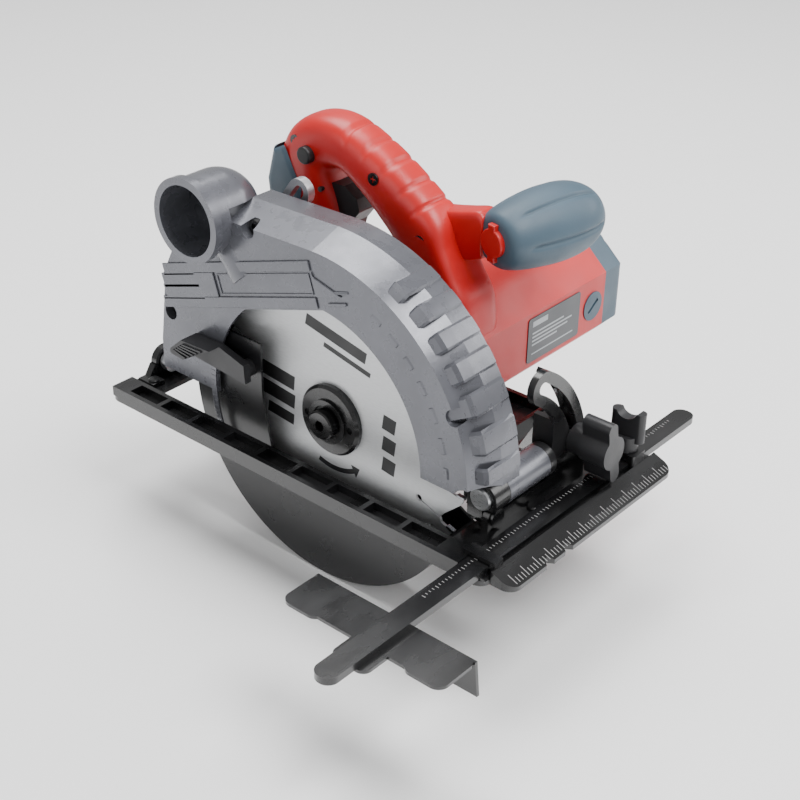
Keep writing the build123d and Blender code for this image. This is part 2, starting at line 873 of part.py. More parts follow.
# ---------------------------------------------------------------- base
rail_front_x = 117.5
pocket_pitch = 26.0
case_bay_y = 45.0
case_bay_half = 34.0
rail_left_y = right_y + rail_width
floor_z = bar_bottom - 0.3
channel_half = bar_width / 2 + gap
with BuildPart() as base_plate:
    with BuildSketch() as sole_outline:
        with Locations(((rear_x + lip_x) / 2, (right_y + left_y) / 2)):
            Rectangle(lip_x - rear_x, left_y - right_y)
        fillet(sole_outline.vertices(), 8)
        with Locations(((window_rear_x + window_front_x) / 2, (rail_left_y + window_left_y) / 2)):
            RectangleRounded(
                window_front_x - window_rear_x,
                window_left_y - rail_left_y,
                4,
                mode=Mode.SUBTRACT,
            )
        with Locations((0, case_bay_y - 10)):
            Rectangle(2 * case_bay_half, 20, mode=Mode.SUBTRACT)
    extrude(amount=sole_thick)
    with BuildSketch(side(left_y - 2)):
        with BuildLine():
            Polyline(
                (lip_x - 9, 0),
                (front_x, 0),
                (front_x, lip_low),
                (lip_x, rim_height - 1),
                (lip_x, sole_thick),
                (lip_x - 9, sole_thick),
                close=True,
            )
        make_face()
    extrude(amount=left_y - right_y - 8)
    fillet(base_plate.edges().filter_by(Axis.Z).group_by(Axis.X)[-1], 7)
    with BuildSketch():
        for notch_y in (0.0, 16.0):
            with BuildLine():
                Polyline(
                    (front_x + 1, notch_y - 4),
                    (front_x - 5, notch_y),
                    (front_x + 1, notch_y + 4),
                    close=True,
                )
            make_face()
    extrude(amount=rim_height, mode=Mode.SUBTRACT)
    with BuildSketch(Plane.XY.offset(sole_thick)):
        with Locations(((rear_x + 4 + rail_front_x) / 2, (right_y + rail_left_y) / 2)):
            Rectangle(rail_front_x - rear_x - 4, rail_width)
        with Locations((rear_x + rim_width / 2, 64)):
            Rectangle(rim_width, 84)
        with Locations((-12, left_y - rim_width / 2)):
            Rectangle(250, rim_width)
        with Locations((-20, window_left_y + rim_width / 2)):
            Rectangle(215, rim_width)
        with Locations((0, case_bay_y + rim_width / 2)):
            Rectangle(2 * case_bay_half + 6, rim_width)
        with Locations((-30, (left_y + window_left_y) / 2)):
            with GridLocations(36, 1, 6, 1):
                Rectangle(2.5, left_y - window_left_y - 1)
        with Locations((0, case_bay_y - 10)):
            Rectangle(2 * case_bay_half, 20, mode=Mode.SUBTRACT)
    extrude(amount=rim_height - sole_thick)
    with BuildSketch(Plane.XY.offset(rim_height)):
        with Locations(((rear_x + rail_front_x) / 2, (right_y + rail_left_y) / 2)):
            with GridLocations(pocket_pitch, 0, 9, 1):
                Rectangle(pocket_pitch - 3, rail_width - 6)
    extrude(amount=-4.5, mode=Mode.SUBTRACT)
    with BuildSketch(Plane.XY.offset(sole_thick)):
        with Locations((bar_x, (right_y + left_y) / 2)):
            Rectangle(2 * channel_half + 3, left_y - right_y - 4)
    extrude(amount=floor_z - sole_thick)
    with BuildSketch(Plane.XY.offset(floor_z)):
        with Locations((bar_x, rail_left_y - 3.5)):
            Rectangle(2 * channel_half + 6, 7)
    extrude(amount=bar_thick + 3)
    with BuildSketch(side(rail_left_y + 5)):
        with Locations((bar_x, floor_z + (bar_thick + 0.7) / 2)):
            Rectangle(2 * channel_half, bar_thick + 0.7)
    extrude(amount=15, mode=Mode.SUBTRACT)
    rivet_radius = 2.0
    rivet_places = ((113.7, -18.5), (113.7, 30.0), (113.7, 86.0), (-134.0, -13.0), (-134.0, 18.0))
    with BuildSketch():
        with Locations(*rivet_places):
            Circle(rivet_radius)
    extrude(amount=sole_thick, mode=Mode.SUBTRACT)
finish(base_plate.part, "base_plate")

foot_top = sole_thick + 2.5
with BuildPart() as base_rivets:
    with BuildSketch():
        with Locations(*rivet_places):
            Circle(rivet_radius)
    extrude(amount=foot_top)
    with BuildSketch(Plane.XY.offset(foot_top)):
        with Locations(*rivet_places):
            Circle(rivet_radius + 1.6)
    extrude(amount=1.4)
    chamfer(base_rivets.faces().group_by(Axis.Z)[-1].edges(), 0.7)
finish(base_rivets.part, "base_rivets")

rib_y = 49.0
plate_x = quadrant_x - quadrant_plate
rim_x = quadrant_x - quadrant_depth
quadrant_radius = stud_orbit + band_width / 2
slot_half = stud_radius + 0.35
foot_front_x = 116.0
with BuildPart() as bevel_quadrant:
    with BuildSketch(Plane.XY.offset(sole_thick)):
        with Locations(((plate_x + foot_front_x) / 2, 35)):
            Rectangle(foot_front_x - plate_x, 114)
        with Locations(((rim_x + foot_front_x) / 2, 70)):
            Rectangle(foot_front_x - rim_x, 44)
    extrude(amount=foot_top - sole_thick)
    with BuildSketch(front(plate_x)):
        with Locations((bevel_y, bevel_z)):
            Circle(pivot_ear_radius)
        with Locations((bevel_y, (bevel_z + sole_thick) / 2)):
            Rectangle(2 * pivot_ear_radius, bevel_z - sole_thick)
        with Locations(((bevel_y + rib_y) / 2, (13.6 + sole_thick) / 2)):
            Rectangle(rib_y - bevel_y, 13.6 - sole_thick)
        with BuildLine(mode=Mode.PRIVATE):
            band_path = CenterArc((bevel_y, bevel_z), stud_orbit, -4, bevel_range + stud_angle + 4)
        SlotArc(band_path, band_width)
    extrude(amount=quadrant_plate)
    with BuildSketch(front(quadrant_x - 2.5)):
        with Locations((bevel_y, bevel_z)):
            Circle(stud_orbit - band_width / 2 + 1)
        with Locations((rib_y + 8, 30)):
            Rectangle(16, 60, mode=Mode.INTERSECT)
    extrude(amount=2.5)
    with BuildSketch(front(rim_x)):
        with Locations((rib_y + 1.75, (48 + sole_thick) / 2)):
            Rectangle(3.5, 48 - sole_thick)
    extrude(amount=quadrant_depth)
    with BuildSketch(front(rim_x)):
        with BuildLine():
            CenterArc((bevel_y, bevel_z), quadrant_radius, -5, 58)
            CenterArc((bevel_y, bevel_z), quadrant_radius - 3, -5, 58)
            for angle in (-5, 53):
                Line(
                    polar(quadrant_radius, angle, bevel_y, bevel_z),
                    polar(quadrant_radius - 3, angle, bevel_y, bevel_z),
                )
        make_face()
    extrude(amount=quadrant_depth)
    with BuildSketch(front(plate_x)):
        with BuildLine(mode=Mode.PRIVATE):
            slot_path = CenterArc((bevel_y, bevel_z), stud_orbit, stud_angle - 0.6, bevel_range + 1.2)
        SlotArc(slot_path, 2 * slot_half)
    extrude(amount=quadrant_plate, mode=Mode.SUBTRACT)
    with BuildSketch(front(plate_x)):
        with Locations((bevel_y, bevel_z)):
            Circle(pivot_pin_radius)
    extrude(amount=quadrant_plate, mode=Mode.SUBTRACT)
    with BuildSketch(Plane.XY.offset(-20)):
        with Locations((0, 0)):
            Rectangle(400, 400)
    extrude(amount=20 + sole_thick, mode=Mode.SUBTRACT)
    with BuildSketch(Plane.XY.offset(sole_thick)):
        with Locations(*rivet_places):
            Circle(rivet_radius)
    extrude(amount=5, mode=Mode.SUBTRACT)
finish(bevel_quadrant.part, "bevel_quadrant")

rear_ear_x = -143.0
rear_ear_thick = 4.4
with BuildPart() as rear_pivot_bracket:
    with BuildSketch(Plane.XY.offset(sole_thick)):
        with Locations((rear_ear_x + rear_ear_thick / 2, 2.5)):
            Rectangle(rear_ear_thick, 40)
        for wing_y in (-13.0, 18.0):
            with Locations((-136.5, wing_y)):
                Rectangle(13, 9)
    extrude(amount=foot_top - sole_thick)
    with BuildSketch(front(rear_ear_x)):
        with Locations((bevel_y, bevel_z)):
            Circle(pivot_ear_radius + 2.8)
        with BuildLine():
            Polyline((-14, sole_thick), (-8, bevel_z), (12, bevel_z), (20, sole_thick), close=True)
        make_face()
        with Locations((bevel_y, bevel_z)):
            Circle(pivot_pin_radius, mode=Mode.SUBTRACT)
    extrude(amount=rear_ear_thick)
    with BuildSketch(Plane.XY.offset(sole_thick)):
        with Locations(*rivet_places):
            Circle(rivet_radius)
    extrude(amount=5, mode=Mode.SUBTRACT)
finish(rear_pivot_bracket.part, "rear_pivot_bracket")

lug_front_x = plate_x - 0.3
lug_rear_x = 96.0
rear_lug_x = -138.0
rear_lug_thick = 5.0
with BuildPart() as bevel_pivot_pins:
    with BuildSketch(front(lug_rear_x)):
        with Locations((bevel_y, bevel_z)):
            Circle(pivot_pin_radius)
    extrude(amount=quadrant_x - lug_rear_x)
    with BuildSketch(front(quadrant_x)):
        with Locations((bevel_y, bevel_z)):
            Circle(pivot_pin_radius + 2.2)
    extrude(amount=1.8)
    with BuildSketch(front(rear_ear_x)):
        with Locations((bevel_y, bevel_z)):
            Circle(pivot_pin_radius)
    extrude(amount=rear_lug_x + rear_lug_thick - rear_ear_x)
    with BuildSketch(front(rear_ear_x)):
        with Locations((bevel_y, bevel_z)):
            Circle(pivot_pin_radius + 2)
    extrude(amount=-1.8)
finish(bevel_pivot_pins.part, "bevel_pivot_pins")

# ---------------------------------------------------------------- tilting frame
near_ear_y = -4.0
near_ear_far = tube_near_y - 0.3
far_ear_y = tube_far_y + 0.3
arm_x = 89.0
arm_front_x = hinge_x - hinge_ring - 0.6
stud_y, stud_z = polar(stud_orbit, stud_angle, bevel_y, bevel_z)
with BuildPart() as tilt_bracket:
    for end_y, length in ((near_ear_far, near_ear_far - near_ear_y), (far_ear_y + ear_thick, ear_thick)):
        with BuildSketch(side(end_y)):
            with Locations((hinge_x, hinge_z)):
                Circle(hinge_ring)
        extrude(amount=length)
    with BuildSketch(side(near_ear_far)):
        with BuildLine():
            Polyline(
                (lug_front_x, bevel_z + pivot_ear_radius + 0.3),
                (hinge_x + hinge_ring + 1, bevel_z + pivot_ear_radius + 0.3),
                (hinge_x + hinge_ring + 1, 5),
                (lug_front_x, 5),
                close=True,
            )
        make_face()
    extrude(amount=near_ear_far - near_ear_y, mode=Mode.SUBTRACT)
    with BuildSketch(front(lug_rear_x)):
        with Locations((bevel_y, bevel_z)):
            Circle(pivot_ear_radius - 0.4)
        with Locations((bevel_y, 18)):
            Rectangle(near_ear_far - near_ear_y, 12)
    extrude(amount=lug_front_x - lug_rear_x)
    with BuildSketch(front(arm_x)):
        with Locations(((bevel_y + near_ear_far) / 2, 16)):
            Rectangle(near_ear_far - bevel_y, 12)
    extrude(amount=lug_rear_x - arm_x)
    with BuildSketch(front(arm_x)):
        with BuildLine():
            Polyline(
                (bevel_y, 10.5),
                (far_ear_y + ear_thick, 10.5),
                (stud_y + 3, stud_z - 7),
                (stud_y, stud_z + 6.5),
                (far_ear_y + ear_thick, 24),
                (bevel_y, 22),
                close=True,
            )
        make_face()
        with Locations((stud_y, stud_z)):
            Circle(7.5)
    extrude(amount=arm_front_x - arm_x)
    with BuildSketch(front(arm_front_x)):
        with Locations((stud_y, stud_z)):
            Circle(5.5)
    extrude(amount=lug_front_x - arm_front_x)
    with BuildSketch(side(far_ear_y + ear_thick)):
        with Locations(((arm_x + hinge_x) / 2, 19.5)):
            Rectangle(hinge_x - arm_x, 9)
    extrude(amount=ear_thick)
    with BuildSketch(side(60)):
        with Locations((hinge_x, hinge_z)):
            Circle(hinge_pin_radius)
    extrude(amount=70, mode=Mode.SUBTRACT)
    with BuildSketch(front(arm_x - 1)):
        with Locations((stud_y, stud_z)):
            Circle(stud_radius)
        with Locations((bevel_y, bevel_z)):
            Circle(pivot_pin_radius + running)
    extrude(amount=30, mode=Mode.SUBTRACT)
finish(tilt_bracket.part, "tilt_bracket")

with BuildPart() as depth_hinge_pin:
    with BuildSketch(side(far_ear_y + ear_thick + 0.5)):
        with Locations((hinge_x, hinge_z)):
            Circle(hinge_pin_radius)
    extrude(amount=far_ear_y + ear_thick + 0.5 - near_ear_y)
    with BuildSketch(side(near_ear_y)):
        with Locations((hinge_x, hinge_z)):
            Circle(hinge_pin_radius + 2.5)
    extrude(amount=1.8)
    chamfer(depth_hinge_pin.faces().sort_by(Axis.Y)[0].edges(), 0.8)
finish(depth_hinge_pin.part, "depth_hinge_pin")

knob_x = quadrant_x + 0.3
with BuildPart() as bevel_stud:
    with BuildSketch(front(arm_x)):
        with Locations((stud_y, stud_z)):
            Circle(stud_radius)
    extrude(amount=knob_x + 20 - arm_x)
    with BuildSketch(front(arm_x)):
        with Locations((stud_y, stud_z)):
            RegularPolygon(5.5, 6)
    extrude(amount=-3)
finish(bevel_stud.part, "bevel_stud")

knob_wing = 19.0
with BuildPart() as bevel_knob:
    with BuildSketch(front(knob_x)):
        with Locations((stud_y, stud_z)):
            Circle(8.5)
    extrude(amount=12)
    with BuildSketch(front(knob_x + 8)):
        with Locations((stud_y, stud_z)):
            Circle(9.5)
            with PolarLocations(0, 1):
                SlotOverall(2 * knob_wing, 8, rotation=100)
    extrude(amount=17)
    fillet(bevel_knob.edges().filter_by(Axis.X), 1.5)
    with BuildSketch(front(knob_x)):
        with Locations((stud_y, stud_z)):
            Circle(stud_radius + running)
    extrude(amount=21, mode=Mode.SUBTRACT)
finish(bevel_knob.part, "bevel_knob")

with BuildPart() as depth_arc:
    with BuildSketch(front(rear_lug_x)):
        with Locations((bevel_y, bevel_z)):
            Circle(pivot_ear_radius)
        with BuildLine():
            Polyline(
                (bevel_y, bevel_z - 3),
                (arc_y + arc_thick, bevel_z - 2),
                (arc_y + arc_thick, bevel_z + 12),
                (bevel_y, bevel_z + 6),
                close=True,
            )
        make_face()
    extrude(amount=rear_lug_thick)
    with BuildSketch(side(arc_y + arc_thick)):
        with BuildLine():
            Polyline(
                (rear_lug_x, bevel_z - 2),
                (-84, bevel_z - 2),
                (-84, bevel_z + 24),
                (-100, bevel_z + 14),
                (rear_lug_x, bevel_z + 12),
                close=True,
            )
        make_face()
        with BuildLine(mode=Mode.PRIVATE):
            arc_path = CenterArc(
                (hinge_x, hinge_z), arc_orbit, 180 - depth_range - arc_rest_angle, depth_range + 2
            )
        SlotArc(arc_path, arc_width)
    extrude(amount=arc_thick)
    with BuildSketch(side(arc_y + arc_thick)):
        with BuildLine(mode=Mode.PRIVATE):
            arc_slot = CenterArc(
                (hinge_x, hinge_z),
                arc_orbit,
                180 - depth_range - arc_rest_angle - 0.2,
                depth_range + 0.4,
            )
        SlotArc(arc_slot, 2 * (depth_bolt_radius + 0.35))
    extrude(amount=arc_thick, mode=Mode.SUBTRACT)
    with BuildSketch(front(rear_lug_x)):
        with Locations((bevel_y, bevel_z)):
            Circle(pivot_pin_radius + running)
    extrude(amount=rear_lug_thick, mode=Mode.SUBTRACT)
finish(depth_arc.part, "depth_arc")

depth_bolt_x, depth_bolt_z = polar(-arc_orbit, -arc_rest_angle, hinge_x, hinge_z)
lever_y = arc_y + arc_thick + gap
with BuildPart() as depth_bolt:
    with BuildSketch(side(lever_y + 12)):
        with Locations((depth_bolt_x, depth_bolt_z)):
            Circle(depth_bolt_radius)
    extrude(amount=lever_y + 12 - guard_back_y + 3)
finish(depth_bolt.part, "depth_bolt")

with BuildPart() as depth_lever:
    with BuildSketch(side(lever_y + 9)):
        with Locations((depth_bolt_x, depth_bolt_z)):
            Circle(7.5)
    extrude(amount=9)
    with BuildSketch(side(lever_y + 8)):
        with Locations((depth_bolt_x, depth_bolt_z)):
            Circle(6)
        with Locations((depth_bolt_x - 33, depth_bolt_z + 9)):
            Circle(5)
        make_hull()
    extrude(amount=5)
    with BuildSketch(side(lever_y + 9)):
        with Locations((depth_bolt_x, depth_bolt_z)):
            Circle(depth_bolt_radius + running)
    extrude(amount=9, mode=Mode.SUBTRACT)
finish(depth_lever.part, "depth_lever")

# ---------------------------------------------------------------- parallel guide
bar_top = bar_bottom + bar_thick
with BuildPart() as guide_bar:
    with BuildSketch(Plane.XY.offset(bar_bottom)):
        with Locations((bar_x, (bar_right_y + bar_left_y) / 2)):
            RectangleRounded(bar_width, bar_left_y - bar_right_y, 6)
    extrude(amount=bar_thick)
    rivet_spots = ((bar_x, -97.0), (bar_x, -110.0))
    with BuildSketch(Plane.XY.offset(bar_bottom)):
        with Locations(*rivet_spots):
            Circle(rivet_radius)
    extrude(amount=bar_thick, mode=Mode.SUBTRACT)
finish(guide_bar.part, "guide_bar")

plate_thick = 1.8
fence_middle_x = 118.5
with BuildPart() as fence_plate:
    with BuildSketch(Plane.XY.offset(bar_bottom - plate_thick)):
        with Locations((fence_middle_x, fence_flange_y - 11)):
            RectangleRounded(fence_length, 24, 4)
        with Locations((bar_x, fence_flange_y - 26)):
            RectangleRounded(22, 26, 5)
        for lobe in (-1, 1):
            with Locations((fence_middle_x + lobe * (fence_length / 2 - 12), fence_flange_y - 18)):
                RectangleRounded(24, 14, 6)
        with Locations(*rivet_spots):
            Circle(rivet_radius, mode=Mode.SUBTRACT)
    extrude(amount=plate_thick)
    with BuildSketch(side(fence_flange_y + plate_thick)):
        with BuildLine():
            Polyline(
                (fence_middle_x - fence_length / 2 - 8, bar_bottom - fence_drop + 10),
                (fence_middle_x - fence_length / 2, bar_bottom),
                (fence_middle_x + fence_length / 2, bar_bottom),
                (fence_middle_x + fence_length / 2 + 2, bar_bottom - fence_drop),
                (fence_middle_x + fence_length / 2 - 14, bar_bottom - fence_drop),
                (fence_middle_x - fence_length / 2 - 8, bar_bottom - fence_drop + 3),
                close=True,
            )
        make_face()
    extrude(amount=plate_thick)
finish(fence_plate.part, "fence_plate")

with BuildPart() as fence_rivets:
    with BuildSketch(Plane.XY.offset(bar_bottom - plate_thick)):
        with Locations(*rivet_spots):
            Circle(rivet_radius)
    extrude(amount=bar_thick + plate_thick)
    with BuildSketch(Plane.XY.offset(bar_bottom - plate_thick)):
        with Locations(*rivet_spots):
            Circle(rivet_radius + 1.2)
    extrude(amount=-1.0)
finish(fence_rivets.part, "fence_rivets")

block_top = 14.0
screw_radius = 3.0
with BuildPart() as bar_clamp_block:
    with BuildSketch(Plane.XY.offset(floor_z)):
        with Locations((bar_x, clamp_y)):
            Rectangle(2 * channel_half + 4.4, 12)
    extrude(amount=block_top - floor_z)
    fillet(bar_clamp_block.edges().filter_by(Axis.Z), 1.5)
    with BuildSketch(side(clamp_y + 7)):
        with Locations((bar_x, floor_z + (bar_thick + 0.7) / 2)):
            Rectangle(2 * channel_half, bar_thick + 0.7)
    extrude(amount=14, mode=Mode.SUBTRACT)
    with BuildSketch(Plane.XY.offset(block_top)):
        with Locations((bar_x, clamp_y)):
            Circle(screw_radius + running)
    extrude(amount=-block_top + bar_top, mode=Mode.SUBTRACT)
finish(bar_clamp_block.part, "bar_clamp_block")

clamp_wing = 9.8
with BuildPart() as bar_clamp_knob:
    with BuildSketch(Plane.XY.offset(block_top + gap)):
        with Locations((bar_x, clamp_y)):
            Circle(6.5)
    extrude(amount=9)
    with BuildSketch(Plane.XY.offset(block_top + 6)):
        with Locations((bar_x, clamp_y)):
            SlotOverall(2 * clamp_wing, 6.5, rotation=10)
    extrude(amount=18)
    with BuildSketch(side(clamp_y + 12)):
        with Locations((bar_x, block_top + 26)):
            Circle(6)
    extrude(amount=24, mode=Mode.SUBTRACT)
    with BuildSketch(Plane.XY.offset(bar_top + gap)):
        with Locations((bar_x, clamp_y)):
            Circle(screw_radius)
    extrude(amount=block_top - bar_top)
finish(bar_clamp_knob.part, "bar_clamp_knob")

# ---------------------------------------------------------------- lower guard
hub_bore = hub_radius + running
with BuildSketch() as right_cover:
    with Locations((0, spindle_z)):
        Circle(lower_radius)
    with BuildLine():
        Polyline(
            (-lower_radius, 62),
            (-43, 62),
            (-43, 30),
            (-36, -6),
            (66, -6),
            (79, 0),
            (lower_radius, -9),
            (lower_radius, -80),
            (-lower_radius, -80),
            close=True,
        )
    make_face(mode=Mode.INTERSECT)

with BuildSketch() as left_cover:
    add(right_cover.sketch)
    with Locations((0, spindle_z)):
        Circle(36)
    with BuildLine():
        Polyline((-52, 50), (0, 61), (33, 36), (58, -12), (-40, -12), close=True)
    make_face()

with BuildPart() as lower_guard:
    with BuildSketch(side(lower_half_width)):
        add(right_cover.sketch)
    extrude(amount=2 * lower_half_width)
    with BuildSketch(side(lower_half_width - lower_wall)):
        with Locations((0, spindle_z)):
            Circle(lower_radius - lower_wall)
    extrude(amount=2 * (lower_half_width - lower_wall), mode=Mode.SUBTRACT)
    with BuildSketch(side(lower_half_width)):
        add(left_cover.sketch)
    extrude(amount=lower_wall)
    with BuildSketch(side(lower_half_width + 1.2)):
        with Locations((0, spindle_z)):
            Circle(hub_radius + 2)
    extrude(amount=1.2)
    with BuildSketch(side(lower_half_width + 1.2)):
        with Locations((0, spindle_z)):
            Circle(hub_bore)
    extrude(amount=4, mode=Mode.SUBTRACT)
finish(lower_guard.part, "lower_guard")

post_x = -52.0
post_z = 45.0
lever_face_y = -22.0
pad_thick = 12.0
pad_ribs = 5
with BuildPart() as guard_lever:
    with BuildSketch(side(-lower_half_width)):
        with Locations((post_x, post_z)):
            Circle(5)
    extrude(amount=-lower_half_width - lever_face_y)
    with BuildSketch(side(guard_face_y - 1.4)):
        with BuildLine():
            Polyline(
                (post_x + 6, post_z - 5),
                (post_x + 5, post_z + 6),
                (-66, 56),
                (-88, 55),
                (-88, 43),
                close=True,
            )
        make_face()
    extrude(amount=guard_face_y - 1.4 - lever_face_y)
    with BuildSketch(side(guard_face_y - 1.4)):
        with BuildLine():
            Polyline((-101, 44), (-89, 55), (-66, 56), (-88, 43), close=True)
        make_face()
    extrude(amount=pad_thick)
    fillet(guard_lever.edges().filter_by(Axis.Y).group_by(Axis.X)[0], 2)
    for k in range(pad_ribs):
        share = k / (pad_ribs - 1)
        with BuildSketch(side(guard_face_y - 1.4 - pad_thick + 0.5)):
            with BuildLine():
                Line((-96 + 8 * share + 1, 47 + 6 * share), (-85 + 13 * share, 45.2 + 8.5 * share))
            trace(line_width=1.0)
        extrude(amount=1.5)
finish(guard_lever.part, "guard_lever")

spring_turns = 2.5
coil_start = hub_radius + 4.5
coil_end = coil_start + 8
with BuildSketch() as return_coil:
    with BuildLine():
        coil_points = []
        for k in range(61):
            angle = 20 + 360 * spring_turns * k / 60
            coil_points.append(polar(coil_start + (coil_end - coil_start) * k / 60, angle, 0, spindle_z))
        Spline(*coil_points)
    trace(line_width=0.8)
with BuildPart() as guard_return_spring:
    with BuildSketch(side(lower_half_width + 1.4)):
        add(return_coil.sketch)
    extrude(amount=1.2)
finish(guard_return_spring.part, "guard_return_spring")

# ---------------------------------------------------------------- dust port
port_radius = port_bore + port_wall
with BuildPart() as dust_port:
    with BuildSketch(side(port_elbow_y)):
        with Locations((port_x, port_z)):
            Circle(port_radius)
    extrude(amount=port_elbow_y - port_mouth_y)
    with BuildSketch(side(port_mouth_y + 5)):
        with Locations((port_x, port_z)):
            Circle(port_radius + 1.6)
    extrude(amount=5)
    with Locations((port_x, port_elbow_y, port_z)):
        Sphere(port_radius)
    with BuildSketch(duct_plane):
        Circle(duct_bore + port_wall)
    extrude(amount=duct_length)
    with BuildSketch(side(guard_back_y)):
        add(guard_outline.sketch)
    extrude(amount=guard_back_y - guard_face_y, mode=Mode.SUBTRACT)
    with BuildSketch(side(port_elbow_y)):
        with Locations((port_x, port_z)):
            Circle(port_bore)
    extrude(amount=port_elbow_y - port_mouth_y, mode=Mode.SUBTRACT)
    with Locations((port_x, port_elbow_y, port_z)):
        Sphere(port_bore, mode=Mode.SUBTRACT)
    with BuildSketch(duct_plane):
        Circle(duct_bore)
    extrude(amount=duct_length, mode=Mode.SUBTRACT)
finish(dust_port.part, "dust_port")

# ---------------------------------------------------------------- handle
handle_half = handle_split_y - handle_right_y
handle_round = 6.0
with BuildSketch() as handle_outline:
    with BuildLine():
        Polyline(
            (50, 72),
            (50, 97),
            (38, 107),
            (27, 113),
            (26, 135),
            (18, 143),
            (2, 152),
            (-22, 165),
            (-46, 172.5),
            (-66, 170),
            (-79, 161),
            (-87, 148),
            (-93, 128),
            (-89, 100),
            (-86, 66),
            (-76, 58),
            (-24, 56),
            (0, 40),
            (40, 60),
            close=True,
        )
    make_face()
    fillet(handle_outline.vertices().sort_by(Axis.Y)[4:], 7)

with BuildSketch() as handle_opening:
    with BuildLine():
        Polyline(
            (-53, 141),
            (-40, 143),
            (-20, 127),
            (0, 110),
            (14, 99),
            (22, 94),
            (14, 88),
            (-33, 88),
            (-40, 96),
            (-42, 106),
            (-47, 125),
            close=True,
        )
    make_face()
    fillet(handle_opening.vertices(), 3)

with BuildSketch() as handle_section:
    add(handle_outline.sketch)
    add(handle_opening.sketch, mode=Mode.SUBTRACT)
    add(housing_outline.sketch, mode=Mode.SUBTRACT)

knob_start = (57.0, 61.0, 129.0)
knob_end = (70.0, 132.0, 130.0)
knob_axis = tuple(b - a for a, b in zip(knob_start, knob_end))
knob_length = sqrt(sum(part**2 for part in knob_axis))
knob_plane = Plane(knob_start, z_dir=knob_axis)
knob_cap_radius = 8.0
knob_grooves = 6
arm_right_y = 64.0
arm_left_y = 75.0
trigger_width = 15.0
trigger_pivot = (-54.5, 131.0)
screw_spots = ((-78.0, 74.0), (-72.0, 155.0), (-15.0, 148.0), (18.0, 122.0))
boss_radius = 4.2
head_radius = 3.5
shank_radius = 1.6
lock_x = -62.0
lock_z = 150.0
lock_radius = 5.0
gland_z = 95.0
gland_radius = 6.5
gland_tip_x = -104.0


def handle_shell(outer_y, direction):
    """One half of the handle: a shell closed on its outer side and open at the split."""
    with BuildPart() as shell:
        with BuildSketch(side(handle_split_y)):
            add(handle_section.sketch)
        extrude(amount=-direction * handle_half)
        rim = shell.faces().sort_by(Axis.Y)[-1 if direction > 0 else 0]
        fillet(rim.outer_wire().edges(), handle_round)
        with BuildSketch(side(handle_split_y)):
            offset(handle_section.sketch, -handle_wall)
            with Locations(*screw_spots):
                Circle(boss_radius, mode=Mode.SUBTRACT)
        extrude(amount=-direction * (handle_half - handle_wall), mode=Mode.SUBTRACT)
        with BuildSketch(side(handle_split_y)):
            with Locations(*screw_spots):
                Circle(shank_radius)
        extrude(amount=-direction * (handle_half - 4), mode=Mode.SUBTRACT)
    return shell.part


with BuildPart() as front_knob:
    with BuildSketch(Plane(knob_start, x_dir=knob_axis, z_dir=(knob_axis[1], -knob_axis[0], 0))):
        with BuildLine():
            Polyline((0, 0), (0, 13), (3, 16.5))
            Spline((3, 16.5), (18, 20), (38, 22), (56, 20), (67, 13), (knob_length, 0))
            Line((knob_length, 0), (0, 0))
        make_face()
    revolve(axis=Axis(knob_start, knob_axis))
    for k in range(knob_grooves):
        groove = knob_plane.rotated((0, 0, 360 / knob_grooves * k))
        with BuildSketch(groove.offset(19)):
            with Locations((23, 0)):
                Circle(2.5)
        extrude(amount=40, mode=Mode.SUBTRACT)
finish(front_knob.part, "front_knob")

with BuildPart() as front_knob_cap:
    with BuildSketch(knob_plane):
        Circle(knob_cap_radius)
        with Locations((0, knob_cap_radius), (0, -knob_cap_radius)):
            Rectangle(5, 5)
    extrude(amount=-3)
    fillet(front_knob_cap.faces().sort_by(Axis.Y)[0].edges(), 0.8)
finish(front_knob_cap.part, "front_knob_cap")

for label, direction in (("handle_right", -1), ("handle_left", 1)):
    with BuildPart() as shell:
        add(handle_shell(handle_split_y + direction * handle_half, direction))
        if direction > 0:
            with BuildSketch(side(arm_left_y)):
                with BuildLine():
                    Polyline(
                        (23.5, 107),
                        (42, 109),
                        (50, 116),
                        (50, 137),
                        (44, 142),
                        (23.5, 137),
                        close=True,
                    )
                make_face()
            extrude(amount=arm_left_y - arm_right_y)
            add(front_knob.part, mode=Mode.SUBTRACT)
        with BuildSketch(side(handle_split_y + direction * (handle_half - handle_wall + 1.5))):
            with Locations(trigger_pivot):
                Circle(1.5 + running)
        extrude(amount=direction * 3, mode=Mode.SUBTRACT)
        with BuildSketch(side(handle_split_y + trigger_width / 2 + gap)):
            with BuildLine():
                Polyline((-56, 134), (-38, 139), (-30, 122), (-34, 102), (-56, 102), close=True)
            make_face()
        extrude(amount=trigger_width + 2 * gap, mode=Mode.SUBTRACT)
        with BuildSketch(front(gland_tip_x)):
            with Locations((handle_split_y, gland_z)):
                Circle(gland_radius)
        extrude(amount=30, mode=Mode.SUBTRACT)
        if direction < 0:
            with BuildSketch(side(handle_split_y)):
                with Locations((lock_x, lock_z)):
                    Circle(lock_radius + gap)
            extrude(amount=handle_half + 1, mode=Mode.SUBTRACT)
            with BuildSketch(side(handle_right_y + 3)):
                with Locations(*screw_spots):
                    Circle(head_radius + 0.1)
            extrude(amount=4, mode=Mode.SUBTRACT)
            with BuildSketch(side(handle_split_y)):
                with Locations(*screw_spots):
                    Circle(shank_radius)
            extrude(amount=handle_half, mode=Mode.SUBTRACT)
    finish(shell.part, label)

